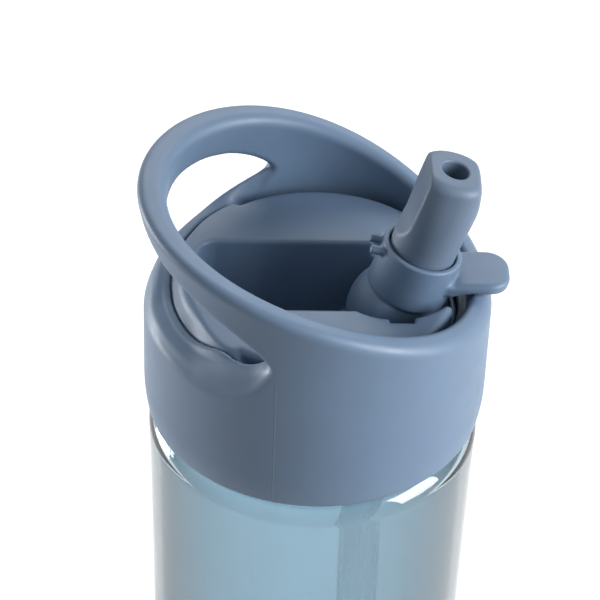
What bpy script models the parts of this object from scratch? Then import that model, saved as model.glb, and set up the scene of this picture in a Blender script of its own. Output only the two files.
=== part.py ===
"""Straw water bottle: a clear body, a screw lid with a carry loop, and a drinking spout that folds down.

The bottle stands on z = 0 with its axis on Z. The carry loop is on the -X side and the spout on the +X side.
Lid pieces hang under the empty lid_axis, whose z = 0 is the cap's lower edge. Spout pieces hang under the
empty spout_pivot, on the hinge axis, whose own Z runs up the spout.
"""

import math

import bmesh
import bpy

MM = 0.001

# Clearances that more than one joint uses
FIT_GAP = 0.3 * MM
OVERRUN = 3.0 * MM
EMBED = 0.6 * MM

# Body of the bottle, heights from the standing face
SHOULDER_Z = 166.6 * MM
BODY_RADIUS = 37.0 * MM
WAIST_RADIUS = 36.0 * MM
WAIST_Z = 75.0 * MM
BODY_WALL = 2.0 * MM
BASE_THICKNESS = 3.2 * MM
BASE_ROUND = 6.0 * MM
SHOULDER_ROUND = 5.5 * MM
NECK_FILLET = 1.4 * MM
NECK_HEIGHT = 14.9 * MM
NECK_WALL = 2.2 * MM

# Cap shell, heights from its lower edge
SHOULDER_GAP = 1.4 * MM
CAP_RADIUS = 38.0 * MM
SHELL_WALL = 2.9 * MM
CAP_EDGE_INSET = 0.8 * MM
CAP_EDGE_RISE = 8.0 * MM
LOOP_WALL = 5.0 * MM
RIM_LEFT_RISE = 59.2 * MM
RIM_MIDDLE_RISE = 49.4 * MM
RIM_RIGHT_RISE = 31.2 * MM
RIM_ROUND = 2.3 * MM
RIM_FLARE = 1.7 * MM
RIM_FLARE_DEPTH = 12.0 * MM
LEDGE_RISE = 28.0 * MM
LEDGE_THICKNESS = 2.4 * MM
SNAP_DEPTH = 1.5 * MM
SNAP_LEAD = 0.6 * MM
SNAP_TOP_RISE = 1.7 * MM

# Window under the carry loop
WINDOW_END_X = 11.2 * MM
WINDOW_END_RADIUS = 5.8 * MM
WINDOW_END_RISE = 37.4 * MM
WINDOW_SILL_RISE = 28.8 * MM
SILL_INNER_LIFT = 1.0 * MM
SILL_RAMP_LIFT = 8.2 * MM
SILL_RAMP_FROM_X = -31.0 * MM
SILL_RAMP_TO_X = -20.0 * MM
WINDOW_EDGE_ROUND = 1.5 * MM
LOOP_TIP_HEIGHT = 5.4 * MM
LOOP_ROOT_HEIGHT = 10.6 * MM
LOOP_GROWTH_POWER = 3

# Lid core
GROOVE_WIDTH = 2.5 * MM
DECK_RISE = 34.0 * MM
DECK_THICKNESS = 2.4 * MM
DECK_EDGE_ROUND = 1.2 * MM
DRUM_WALL = 2.2 * MM
SKIRT_WALL = 1.65 * MM
SKIRT_FOOT_RISE = SNAP_TOP_RISE + FIT_GAP
ROOF_THICKNESS = 2.4 * MM
PLUG_GAP = 0.4 * MM
PLUG_WALL = 1.7 * MM
PLUG_LENGTH = 5.0 * MM

# Screw thread between the neck and the lid core
THREAD_PITCH = 4.0 * MM
THREAD_TURNS = 1.25
THREAD_DEPTH = 1.5 * MM
THREAD_ROOT_WIDTH = 1.9 * MM
THREAD_CREST_WIDTH = 0.9 * MM
THREAD_GAP = 0.45 * MM
THREAD_START_RISE = 5.6 * MM
THREAD_RUNOUT_SHARE = 0.06

# Lid gasket
GASKET_THICKNESS = 2.5 * MM
GASKET_LIP = 0.5 * MM

# Spout, in its own frame, with distances along its axis from the hinge
SPOUT_LEAN = math.radians(15)
PIVOT_DEPTH = 9.6 * MM
BALL_RADIUS = 11.3 * MM
POCKET_GAP = 0.35 * MM
POCKET_WALL = 1.25 * MM
TRUNNION_RADIUS = 3.0 * MM
TRUNNION_REACH = 15.2 * MM
COLLAR_RADIUS = 9.1 * MM
COLLAR_TAPER = 0.3 * MM
COLLAR_TOP = 18.5 * MM
COLLAR_LIP_ROUND = 0.5 * MM
COLLAR_FOOT = 6.4 * MM
COLLAR_FOOT_ROUND = 1.5 * MM
HUB_HALF_WIDTH = 8.3 * MM
CUP_WALL = 1.2 * MM
CUP_DEPTH = 7.4 * MM
BORE_RADIUS = 3.0 * MM
TAB_REACH = 20.3 * MM
TAB_HALF_WIDTH = 6.4 * MM
TAB_CORNER = 5.0 * MM
TAB_ROOT_TOP = 14.5 * MM
TAB_TIP_TOP = 17.5 * MM
TAB_BOW = 0.4 * MM
TAB_ARCH = 1.2 * MM
TAB_THICKNESS = 3.5 * MM
TAB_EDGE_ROUND = 1.0 * MM
PEG_RADIUS = 1.0 * MM
PEG_LENGTH = 2.3 * MM
PEG_SPACING = 4.0 * MM
PEG_HEIGHT = 16.4 * MM

# Mouthpiece, pressed into the collar's cup
MOUTH_NECK = 1.0 * MM
MOUTH_BELLY_HEIGHT = 33.0 * MM
MOUTH_HEAD_LENGTH = 6.7 * MM
MOUTH_BELLY_HALF = 7.8 * MM
MOUTH_TIP_HALF = 7.5 * MM
MOUTH_TIP_ROUND = 3.2 * MM
FACET_REACH = 5.75 * MM
FACET_DROP = 6.0 * MM
FACET_RUNOUT_LENGTH = 6.5 * MM
FACET_RUNOUT = 2.2 * MM

# Trough that the folded spout lies in
PEG_FLOOR_GAP = 0.8 * MM
TROUGH_WALL = 1.1 * MM
TROUGH_FLOOR_THICKNESS = 1.8 * MM
TROUGH_END_WALL = 2.1 * MM
TROUGH_CORNER = 2.5 * MM
SHELF_GAP = 0.7 * MM
SHELF_X = 6.0 * MM
RECESS_RADIUS = 15.0 * MM
RECESS_DEPTH = 4.0 * MM
EXIT_HALF_WIDTH = 9.7 * MM
CHEEK_HALF_LENGTH = 6.5 * MM
CHEEK_WALL = 1.7 * MM
SLOT_HALF_WIDTH = 2.75 * MM
SLOT_LEAD_HALF_WIDTH = 4.0 * MM
SLOT_LEAD_HEIGHT = 2.1 * MM

# Drink passage, seal and straw
SEAL_RADIUS = 4.0 * MM
SEAL_THICKNESS = 2.7 * MM
SEAT_WALL = 1.6 * MM
ELBOW_RISE = 4.5 * MM
PASSAGE_RADIUS = 2.2 * MM
NIPPLE_RADIUS = 3.5 * MM
NIPPLE_LENGTH = 11.0 * MM
STRAW_RADIUS = 4.8 * MM
STRAW_WALL = 1.0 * MM
STRAW_FLOOR_GAP = 6.5 * MM
STRAW_BOSS_WALL = 1.2 * MM
STRAW_BOSS_FOOT_RISE = 4.0 * MM

# Vent valve, an umbrella in the trough's floor
VENT_X = -14.0 * MM
VENT_DISH_RADIUS = 4.2 * MM
VENT_DISH_THICKNESS = 0.9 * MM
VENT_STEM_RADIUS = 1.1 * MM
VENT_BULB_RADIUS = 1.9 * MM
VENT_BULB_HEIGHT = 2.0 * MM
VENT_HOLE_RADIUS = 0.7 * MM
VENT_HOLE_CIRCLE = 2.75 * MM
VENT_HOLES = 3

# Sizes that follow from those above
CAP_Z = SHOULDER_Z + SHOULDER_GAP
SHELL_BORE = CAP_RADIUS - SHELL_WALL
SKIRT_RADIUS = SHELL_BORE - FIT_GAP
SKIRT_BORE = SKIRT_RADIUS - SKIRT_WALL
NECK_RADIUS = SKIRT_BORE - THREAD_GAP - THREAD_DEPTH
NECK_BORE = NECK_RADIUS - NECK_WALL
NECK_TOP_RISE = NECK_HEIGHT - SHOULDER_GAP
GASKET_FOOT_RISE = NECK_TOP_RISE + FIT_GAP
ROOF_FOOT_RISE = GASKET_FOOT_RISE + GASKET_THICKNESS + FIT_GAP
ROOF_TOP_RISE = ROOF_FOOT_RISE + ROOF_THICKNESS
LEDGE_FOOT_RISE = LEDGE_RISE - LEDGE_THICKNESS
SKIRT_TOP_RISE = LEDGE_FOOT_RISE - FIT_GAP
BOWL_RADIUS = CAP_RADIUS - LOOP_WALL
DECK_RADIUS = BOWL_RADIUS - GROOVE_WIDTH
LEDGE_BORE = DECK_RADIUS + FIT_GAP
DRUM_BORE = DECK_RADIUS - DRUM_WALL
PLUG_RADIUS = NECK_BORE - PLUG_GAP
PLUG_BORE = PLUG_RADIUS - PLUG_WALL
PLUG_FOOT_RISE = ROOF_FOOT_RISE - PLUG_LENGTH
POCKET_RADIUS = BALL_RADIUS + POCKET_GAP
CRADLE_RADIUS = POCKET_RADIUS + TROUGH_WALL
PIVOT_X = DECK_RADIUS - POCKET_WALL - POCKET_RADIUS
PIVOT_RISE = DECK_RISE - PIVOT_DEPTH
TROUGH_END_RADIUS = PLUG_RADIUS - TROUGH_END_WALL
TROUGH_FLOOR_RISE = PIVOT_RISE - COLLAR_RADIUS - PEG_LENGTH - PEG_FLOOR_GAP
TROUGH_FOOT_RISE = TROUGH_FLOOR_RISE - TROUGH_FLOOR_THICKNESS
SHELF_RISE = PIVOT_RISE - COLLAR_RADIUS - SHELF_GAP
CUP_RADIUS = COLLAR_RADIUS - COLLAR_TAPER - CUP_WALL
CUP_FLOOR = COLLAR_TOP - CUP_DEPTH
PLUG_END_RADIUS = CUP_RADIUS - FIT_GAP
MOUTH_TOP = MOUTH_BELLY_HEIGHT + MOUTH_HEAD_LENGTH
FACET_HEAD = MOUTH_BELLY_HEIGHT - FACET_DROP
FACET_FOOT = FACET_HEAD - FACET_RUNOUT_LENGTH
SEAL_TOP = -(BALL_RADIUS + FIT_GAP)
SEAL_FOOT = SEAL_TOP - SEAL_THICKNESS
SEAT_FOOT = SEAL_FOOT - FIT_GAP
STRAW_X = PIVOT_X - (PIVOT_RISE - ELBOW_RISE) * math.tan(SPOUT_LEAN)
STRAW_BORE = STRAW_RADIUS - STRAW_WALL
STRAW_TOP_RISE = STRAW_BOSS_FOOT_RISE - FIT_GAP
STRAW_FOOT_RISE = BASE_THICKNESS + STRAW_FLOOR_GAP - CAP_Z

# Facets: every piece turned about the bottle's axis shares the same step
ROUND_STEPS = 48
SMALL_STEPS = 24
TINY_STEPS = 12
FILLET_STEPS = 3

COLOURS = {
    "bottle_clear": ((0.50, 0.72, 0.79, 1.0), 0.08),
    "lid_plastic": ((0.14, 0.20, 0.29, 1.0), 0.45),
    "soft_silicone": ((0.13, 0.19, 0.27, 1.0), 0.60),
    "seal_silicone": ((0.75, 0.77, 0.78, 1.0), 0.55),
    "straw_clear": ((0.82, 0.87, 0.89, 1.0), 0.25),
}


def material(name):
    """The Principled material of this name, made once."""
    found = bpy.data.materials.get(name)
    if found:
        return found
    colour, roughness = COLOURS[name]
    made = bpy.data.materials.new(name)
    made.use_nodes = True
    made.diffuse_color = colour
    shader = made.node_tree.nodes["Principled BSDF"]
    shader.inputs["Base Color"].default_value = colour
    shader.inputs["Roughness"].default_value = roughness
    shader.inputs["Metallic"].default_value = 0.0
    return made


def empty(name, parent=None, location=(0, 0, 0), lean=0.0):
    made = bpy.data.objects.new(name, None)
    bpy.context.scene.collection.objects.link(made)
    made.parent = parent
    made.location = location
    made.rotation_euler = (0, lean, 0)
    return made


def finish(name, mesh, parent, surface):
    """Turns a bmesh into an object with outward faces and smooth shading."""
    bmesh.ops.recalc_face_normals(mesh, faces=mesh.faces)
    data = bpy.data.meshes.new(name)
    mesh.to_mesh(data)
    mesh.free()
    data.shade_smooth()
    data.set_sharp_from_angle(angle=math.radians(35))
    if surface:
        data.materials.append(material(surface))
    made = bpy.data.objects.new(name, data)
    bpy.context.scene.collection.objects.link(made)
    made.parent = parent
    return made


def bridge(mesh, first, second):
    """Faces between two rings of vertices, either of which may be one vertex on the axis."""
    steps = max(len(first), len(second))
    for i in range(steps):
        j = (i + 1) % steps
        corners = [first[i % len(first)], first[j % len(first)], second[j % len(second)], second[i % len(second)]]
        unique = list(dict.fromkeys(corners))
        if len(unique) > 2:
            mesh.faces.new(unique)


def lathe(name, profile, parent=None, surface=None, steps=ROUND_STEPS, centre=(0, 0)):
    """A solid turned about Z through centre. The profile is a closed outline of (radius, height)."""
    mesh = bmesh.new()
    rings = []
    for radius, height in profile:
        turns = [2 * math.pi * i / steps for i in range(steps)] if radius > 0 else [0.0]
        rings.append(
            [
                mesh.verts.new((centre[0] + radius * math.cos(a), centre[1] + radius * math.sin(a), height))
                for a in turns
            ]
        )
    for ring, following in zip(rings, rings[1:] + rings[:1]):
        if len(ring) > 1 or len(following) > 1:
            bridge(mesh, ring, following)
    return finish(name, mesh, parent, surface)


def rod(name, radius, low, high, parent=None, steps=SMALL_STEPS, centre=(0, 0)):
    """A plain cylinder along its frame's Z."""
    return lathe(name, [(0, low), (radius, low), (radius, high), (0, high)], parent, None, steps, centre)


def loft(name, rings, parent=None, surface=None):
    """A solid through rings of points, closed by a flat face at each end."""
    mesh = bmesh.new()
    loops = [[mesh.verts.new(point) for point in ring] for ring in rings]
    for ring, following in zip(loops, loops[1:]):
        bridge(mesh, ring, following)
    mesh.faces.new(loops[0])
    mesh.faces.new(loops[-1])
    return finish(name, mesh, parent, surface)


def prism(name, outline, low, high, parent=None, along="Z"):
    """An outline extruded along Z, or an (x, z) outline extruded along Y."""
    if along == "Z":
        rings = [[(x, y, height) for x, y in outline] for height in (low, high)]
    else:
        rings = [[(x, depth, z) for x, z in outline] for depth in (low, high)]
    return loft(name, rings, parent)


def arc(centre, radius, start, end, steps=FILLET_STEPS):
    """Points on an arc, angles in degrees, both ends included."""
    turns = [math.radians(start + (end - start) * i / steps) for i in range(steps + 1)]
    return [(centre[0] + radius * math.cos(a), centre[1] + radius * math.sin(a)) for a in turns]


def box_outline(x0, x1, y0, y1):
    return [(x0, y0), (x1, y0), (x1, y1), (x0, y1)]


def helper(tool):
    tool.hide_render = True
    tool.display_type = "WIRE"
    return tool


def combine(target, tool, operation):
    step = target.modifiers.new(tool.name, "BOOLEAN")
    step.operation = operation
    step.object = helper(tool)
    step.solver = "EXACT"


def fuse(target, *tools):
    for tool in tools:
        combine(target, tool, "UNION")


def cut(target, *tools):
    for tool in tools:
        combine(target, tool, "DIFFERENCE")


def thread_ridge(name, wall, crest, middle, turns, parent=None):
    """One helical ridge on a cylinder of radius wall, fading into it at both ends. middle is its first height."""
    mesh = bmesh.new()
    inwards = crest < wall
    root = wall + EMBED if inwards else wall - EMBED
    half_root = THREAD_ROOT_WIDTH / 2
    half_crest = THREAD_CREST_WIDTH / 2
    steps = round(turns * ROUND_STEPS)
    rings = []
    for i in range(steps + 1):
        share = i / steps
        fade = min(1.0, share / THREAD_RUNOUT_SHARE, (1 - share) / THREAD_RUNOUT_SHARE)
        tip = wall + (crest - wall) * fade - (EMBED * (1 - fade) * (-1 if inwards else 1)) / 2
        angle = 2 * math.pi * turns * share
        height = middle + THREAD_PITCH * turns * share
        section = [(root, -half_root), (tip, -half_crest), (tip, half_crest), (root, half_root)]
        rings.append(
            [mesh.verts.new((r * math.cos(angle), r * math.sin(angle), height + h)) for r, h in section]
        )
    for ring, following in zip(rings, rings[1:]):
        bridge(mesh, ring, following)
    mesh.faces.new(rings[0])
    mesh.faces.new(rings[-1])
    return finish(name, mesh, parent, None)


def body_radius(z):
    """The waisted side of the bottle."""
    share = (z - WAIST_Z) / (SHOULDER_Z - SHOULDER_ROUND - WAIST_Z)
    return WAIST_RADIUS + (BODY_RADIUS - WAIST_RADIUS) * share * share


def make_bottle_body():
    side_low = BASE_ROUND
    side_high = SHOULDER_Z - SHOULDER_ROUND
    heights = [side_low + (side_high - side_low) * i / 6 for i in range(7)]
    outside = [(0, 0)]
    outside += arc((body_radius(side_low) - BASE_ROUND, BASE_ROUND), BASE_ROUND, -90, 0)
    outside += [(body_radius(z), z) for z in heights[1:-1]]
    outside += arc((BODY_RADIUS - SHOULDER_ROUND, side_high), SHOULDER_ROUND, 0, 90)
    outside += [
        (NECK_RADIUS + NECK_FILLET - r, SHOULDER_Z + NECK_FILLET - z)
        for r, z in arc((0, 0), NECK_FILLET, 90, 0, FILLET_STEPS - 1)
    ]
    outside += [(NECK_RADIUS, SHOULDER_Z + NECK_HEIGHT)]
    inner_round = SHOULDER_ROUND - BODY_WALL
    inside = [(NECK_BORE, SHOULDER_Z + NECK_HEIGHT), (NECK_BORE, SHOULDER_Z - BODY_WALL)]
    inside += arc((BODY_RADIUS - SHOULDER_ROUND, side_high), inner_round, 90, 0)
    inside += [(body_radius(z) - BODY_WALL, z) for z in reversed(heights[1:-1])]
    floor_round = BASE_ROUND - BODY_WALL
    inner_side = body_radius(side_low) - BODY_WALL
    inside += arc((inner_side - floor_round, BASE_THICKNESS + floor_round), floor_round, 0, -90)
    inside += [(0, BASE_THICKNESS)]
    body = lathe("bottle_body", outside + inside, None, "bottle_clear")
    middle = CAP_Z + THREAD_START_RISE
    fuse(body, thread_ridge("neck_thread", NECK_RADIUS, NECK_RADIUS + THREAD_DEPTH, middle, THREAD_TURNS))
    return body


def rim_rise(x):
    """Height of the slanted rim over the cap's lower edge, a parabola through its left, middle and right."""
    u = x / CAP_RADIUS
    slope = (RIM_RIGHT_RISE - RIM_LEFT_RISE) / 2
    bow = (RIM_RIGHT_RISE + RIM_LEFT_RISE) / 2 - RIM_MIDDLE_RISE
    return RIM_MIDDLE_RISE + slope * u + bow * u * u


def shell_section(turn):
    """The cap shell's closed cross-section at this angle about Z, as (radius, height)."""

    def rim(radius, drop):
        return (radius, rim_rise(radius * math.cos(turn)) - drop)

    def flared(drop):
        """The outer radius this far under the rim, which spreads out towards the carry loop."""
        near = 1 - drop / RIM_FLARE_DEPTH
        return CAP_RADIUS + RIM_FLARE * (1 - math.cos(turn)) / 2 * near * near

    edge = [
        (
            CAP_RADIUS - CAP_EDGE_INSET * (1 - i / FILLET_STEPS) ** 2,
            CAP_EDGE_RISE * i / FILLET_STEPS,
        )
        for i in range(FILLET_STEPS + 1)
    ]
    flare = [rim(flared(drop), drop) for drop in (RIM_FLARE_DEPTH, RIM_FLARE_DEPTH * 0.6)]
    lip_radius = flared(RIM_ROUND) - RIM_ROUND
    outer_round = [rim(lip_radius + r, RIM_ROUND - z) for r, z in arc((0, 0), RIM_ROUND, 0, 90)]
    inner_round = [rim(BOWL_RADIUS + RIM_ROUND + r, RIM_ROUND - z) for r, z in arc((0, 0), RIM_ROUND, 90, 180)]
    inside = [
        (BOWL_RADIUS, LEDGE_RISE),
        (LEDGE_BORE, LEDGE_RISE),
        (LEDGE_BORE, LEDGE_FOOT_RISE),
        (SHELL_BORE, LEDGE_FOOT_RISE),
        (SHELL_BORE, SNAP_TOP_RISE),
        (SHELL_BORE - SNAP_DEPTH, SNAP_TOP_RISE),
        (SHELL_BORE - SNAP_DEPTH, SNAP_LEAD),
        (SHELL_BORE, 0),
    ]
    return edge + flare + outer_round + inner_round + inside


def smooth_share(value, low, high):
    """0 below low, 1 above high, and a smooth step between them."""
    share = min(1.0, max(0.0, (value - low) / (high - low)))
    return share * share * (3 - 2 * share)


def window_outline(inwards):
    """The window in the unrolled wall, as (angle from -X, height), with round ends at the front and back.

    inwards is 0 at the wall's outer face and 1 at its inner face, where the sill climbs to a ramp.
    """
    end = math.acos(WINDOW_END_X / CAP_RADIUS)
    round_from = end - WINDOW_END_RADIUS / CAP_RADIUS
    straight = [round_from * i / 8 for i in range(9)]
    rounded = [round_from + (end - round_from) * math.sin(math.radians(a)) for a in (20, 40, 58, 74)]
    angles = straight + rounded

    def ease(angle):
        beyond = max(0.0, angle - round_from) / (end - round_from)
        return math.sqrt(1 - beyond * beyond)

    def upper(angle):
        growth = (angle / end) ** LOOP_GROWTH_POWER
        band = LOOP_TIP_HEIGHT + (LOOP_ROOT_HEIGHT - LOOP_TIP_HEIGHT) * growth
        plain = rim_rise(-CAP_RADIUS * math.cos(angle)) - band
        return WINDOW_END_RISE + (plain - WINDOW_END_RISE) * ease(angle)

    def lower(angle):
        x = -CAP_RADIUS * math.cos(angle)
        ramp = SILL_RAMP_LIFT * smooth_share(x, SILL_RAMP_FROM_X, SILL_RAMP_TO_X)
        sill = WINDOW_SILL_RISE + (SILL_INNER_LIFT + ramp) * inwards
        return WINDOW_END_RISE + (sill - WINDOW_END_RISE) * ease(angle)

    top = [(a, upper(a)) for a in angles]
    bottom = [(a, lower(a)) for a in angles]
    back = top[::-1][:-1] + [(-a, z) for a, z in top]
    front = [(-a, z) for a, z in bottom[::-1]][:-1] + bottom
    return [(end, WINDOW_END_RISE)] + back + [(-end, WINDOW_END_RISE)] + front


def grown(outline, amount):
    """The window's outline moved outwards by this length, in the unrolled wall."""
    flat = [(angle * CAP_RADIUS, z) for angle, z in outline]
    moved = []
    for i, (s, z) in enumerate(flat):
        before = flat[i - 1]
        after = flat[(i + 1) % len(flat)]
        ds = after[0] - before[0]
        dz = after[1] - before[1]
        size = math.hypot(ds, dz)
        moved.append(((s + dz / size * amount) / CAP_RADIUS, z - ds / size * amount))
    return moved


def window_cutter(parent):
    """A plug through the wall that flares at both faces, which leaves the window's edges round."""
    r = WINDOW_EDGE_ROUND
    flare = [(r * (1 - math.cos(math.radians(a))), r * (1 - math.sin(math.radians(a)))) for a in (0, 35, 90)]
    layers = [(BOWL_RADIUS - OVERRUN, r)]
    layers += [(BOWL_RADIUS + depth, amount) for depth, amount in flare]
    layers += [(CAP_RADIUS - depth, amount) for depth, amount in reversed(flare)]
    layers += [(CAP_RADIUS + OVERRUN, r)]
    mesh = bmesh.new()
    grid = []
    for radius, amount in layers:
        inwards = min(1.0, max(0.0, (CAP_RADIUS - radius) / LOOP_WALL))
        edge = grown(window_outline(inwards), amount)
        grid.append([mesh.verts.new((-radius * math.cos(a), radius * math.sin(a), z)) for a, z in edge])
    # Stations run from the back end to the front end, each through a point of the top and one of the bottom
    rings = []
    for i in range(len(grid[0]) // 2 + 1):
        rings.append([layer[i] for layer in grid] + [layer[-i] for layer in reversed(grid)])
    for ring, following in zip(rings, rings[1:]):
        bridge(mesh, ring, following)
    return finish("loop_window", mesh, parent, None)


def make_cap_shell(lid):
    mesh = bmesh.new()
    rings = []
    for i in range(ROUND_STEPS):
        turn = 2 * math.pi * i / ROUND_STEPS
        rings.append(
            [mesh.verts.new((r * math.cos(turn), r * math.sin(turn), z)) for r, z in shell_section(turn)]
        )
    for ring, following in zip(rings, rings[1:] + rings[:1]):
        bridge(mesh, ring, following)
    shell = finish("cap_shell", mesh, lid, "lid_plastic")
    cut(shell, window_cutter(lid))
    return shell


def trough_outline(half_width, end_radius, right, corner):
    """Straight sides, and a left end that follows the deck's edge, with round corners."""
    spread = math.degrees(math.asin((half_width - corner) / (end_radius - corner)))
    middle_radius = end_radius - corner
    centre_x = -middle_radius * math.cos(math.radians(spread))
    centre_y = half_width - corner
    upper = arc((centre_x, centre_y), corner, 90, 180 - spread)
    end = arc((0, 0), end_radius, 180 - spread, 180 + spread, 6)
    lower = arc((centre_x, -centre_y), corner, 180 + spread, 270)
    return [(right, half_width)] + upper + end[1:-1] + lower + [(right, -half_width)]


def bullet(name, radius, top, parent, steps):
    """A half ball at the pivot with a straight cylinder above it."""
    ball = [(radius * math.sin(a), PIVOT_RISE - radius * math.cos(a)) for a in angles_to(90, 7)]
    return lathe(name, ball + [(radius, top), (0, top)], parent, None, steps, (PIVOT_X, 0))


def angles_to(degrees, steps):
    return [math.radians(degrees * i / steps) for i in range(steps + 1)]


def core_profile():
    """Half of the lid core's turned section: deck, drum, roof, threaded skirt and sealing plug."""
    deck_edge = arc((DECK_RADIUS - DECK_EDGE_ROUND, DECK_RISE - DECK_EDGE_ROUND), DECK_EDGE_ROUND, 90, 0)
    return (
        [(0, DECK_RISE)]
        + deck_edge
        + [
            (DECK_RADIUS, ROOF_TOP_RISE),
            (SKIRT_BORE, ROOF_TOP_RISE),
            (SKIRT_BORE, SKIRT_TOP_RISE),
            (SKIRT_RADIUS, SKIRT_TOP_RISE),
            (SKIRT_RADIUS, SKIRT_FOOT_RISE),
            (SKIRT_BORE, SKIRT_FOOT_RISE),
            (SKIRT_BORE, ROOF_FOOT_RISE),
            (PLUG_RADIUS, ROOF_FOOT_RISE),
            (PLUG_RADIUS, PLUG_FOOT_RISE),
            (PLUG_BORE, PLUG_FOOT_RISE),
            (PLUG_BORE, ROOF_FOOT_RISE),
            (DRUM_BORE, ROOF_TOP_RISE),
            (DRUM_BORE, DECK_RISE - DECK_THICKNESS),
            (0, DECK_RISE - DECK_THICKNESS),
        ]
    )


def make_lid_core(lid, seat):
    core = lathe("lid_core", core_profile(), lid, "lid_plastic")
    middle = THREAD_START_RISE - THREAD_ROOT_WIDTH - FIT_GAP
    crest = SKIRT_BORE - THREAD_DEPTH
    fuse(core, thread_ridge("lid_thread", SKIRT_BORE, crest, middle, THREAD_TURNS, lid))

    # Solid walls round the trough, the ball, the trunnions and the drink passage
    under_deck = DECK_RISE - DECK_THICKNESS / 2
    wall_right = PIVOT_X + TROUGH_WALL
    wall_end = TROUGH_END_RADIUS + TROUGH_WALL
    wall_outline = trough_outline(CRADLE_RADIUS, wall_end, wall_right, TROUGH_CORNER + TROUGH_WALL)
    cheek_y = TRUNNION_REACH + FIT_GAP + CHEEK_WALL
    cheeks = box_outline(PIVOT_X - CHEEK_HALF_LENGTH, PIVOT_X + CHEEK_HALF_LENGTH, -cheek_y, cheek_y)
    cheek_foot = PIVOT_RISE - CHEEK_HALF_LENGTH
    boss_radius = STRAW_RADIUS + STRAW_BOSS_WALL
    boss_top = TROUGH_FOOT_RISE + TROUGH_FLOOR_THICKNESS / 2
    fuse(
        core,
        prism("trough_walls", wall_outline, TROUGH_FOOT_RISE, under_deck, lid),
        bullet("cradle", CRADLE_RADIUS, under_deck, lid, 36),
        prism("trunnion_cheeks", cheeks, cheek_foot, under_deck, lid),
        rod("seal_boss", SEAL_RADIUS + FIT_GAP + SEAT_WALL, SEAT_FOOT - SEAT_WALL, SEAL_TOP, seat),
        rod("straw_boss", boss_radius, STRAW_BOSS_FOOT_RISE, boss_top, lid, SMALL_STEPS, (STRAW_X, 0)),
        rod(
            "straw_nipple",
            NIPPLE_RADIUS,
            STRAW_BOSS_FOOT_RISE - NIPPLE_LENGTH,
            STRAW_BOSS_FOOT_RISE + EMBED,
            lid,
            SMALL_STEPS,
            (STRAW_X, 0),
        ),
    )

    # Hollows
    above = DECK_RISE + OVERRUN
    trough = trough_outline(POCKET_RADIUS, TROUGH_END_RADIUS, SHELF_X, TROUGH_CORNER)
    over_shelf = box_outline(SHELF_X - OVERRUN, PIVOT_X - EMBED, -POCKET_RADIUS, POCKET_RADIUS)
    exit_box = box_outline(PIVOT_X, DECK_RADIUS + OVERRUN / 2, -EXIT_HALF_WIDTH, EXIT_HALF_WIDTH)
    slot = [
        (PIVOT_X - SLOT_HALF_WIDTH, PIVOT_RISE),
        (PIVOT_X + SLOT_HALF_WIDTH, PIVOT_RISE),
        (PIVOT_X + SLOT_HALF_WIDTH, DECK_RISE - SLOT_LEAD_HEIGHT),
        (PIVOT_X + SLOT_LEAD_HALF_WIDTH, DECK_RISE),
        (PIVOT_X + SLOT_LEAD_HALF_WIDTH, above),
        (PIVOT_X - SLOT_LEAD_HALF_WIDTH, above),
        (PIVOT_X - SLOT_LEAD_HALF_WIDTH, DECK_RISE),
        (PIVOT_X - SLOT_HALF_WIDTH, DECK_RISE - SLOT_LEAD_HEIGHT),
    ]
    slot_reach = TRUNNION_REACH + FIT_GAP
    bearing = rod("trunnion_bearing", TRUNNION_RADIUS + FIT_GAP, -slot_reach, slot_reach, seat)
    bearing.rotation_euler = (math.pi / 2, 0, 0)
    elbow = (PIVOT_RISE - ELBOW_RISE) / math.cos(SPOUT_LEAN)
    cut(
        core,
        prism("trough", trough, TROUGH_FLOOR_RISE, above, lid),
        prism("collar_room", over_shelf, SHELF_RISE, above, lid),
        bullet("ball_pocket", POCKET_RADIUS, above, lid, 36),
        rod("hub_recess", RECESS_RADIUS, DECK_RISE - RECESS_DEPTH, above, lid, 48, (PIVOT_X, 0)),
        prism("collar_exit", exit_box, LEDGE_FOOT_RISE, above, lid),
        prism("trunnion_slot", slot, -slot_reach, slot_reach, lid, "Y"),
        bearing,
        rod("seal_seat", SEAL_RADIUS + FIT_GAP, SEAT_FOOT, SEAL_TOP + SEAL_THICKNESS, seat),
        rod("slant_passage", PASSAGE_RADIUS, -elbow, SEAL_TOP, seat, TINY_STEPS),
        rod(
            "drop_passage",
            PASSAGE_RADIUS,
            STRAW_BOSS_FOOT_RISE - NIPPLE_LENGTH - OVERRUN,
            ELBOW_RISE + PASSAGE_RADIUS / 2,
            lid,
            TINY_STEPS,
            (STRAW_X, 0),
        ),
    )
    low = TROUGH_FOOT_RISE - OVERRUN
    high = TROUGH_FLOOR_RISE + OVERRUN
    cut(core, rod("vent_stem_hole", VENT_STEM_RADIUS + FIT_GAP, low, high, lid, TINY_STEPS, (VENT_X, 0)))
    for i in range(VENT_HOLES):
        turn = 2 * math.pi * i / VENT_HOLES
        place = (VENT_X + VENT_HOLE_CIRCLE * math.cos(turn), VENT_HOLE_CIRCLE * math.sin(turn))
        cut(core, rod(f"vent_hole_{i + 1}", VENT_HOLE_RADIUS, low, high, lid, TINY_STEPS, place))
    return core


def make_gasket(lid):
    inner = PLUG_RADIUS + FIT_GAP
    outer = SKIRT_BORE - FIT_GAP
    foot = GASKET_FOOT_RISE
    top = foot + GASKET_THICKNESS
    profile = [
        (inner, foot),
        (outer - GASKET_LIP, foot),
        (outer, foot + GASKET_LIP),
        (outer, top - GASKET_LIP),
        (outer - GASKET_LIP, top),
        (inner, top),
    ]
    return lathe("lid_gasket", profile, lid, "seal_silicone")


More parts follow.
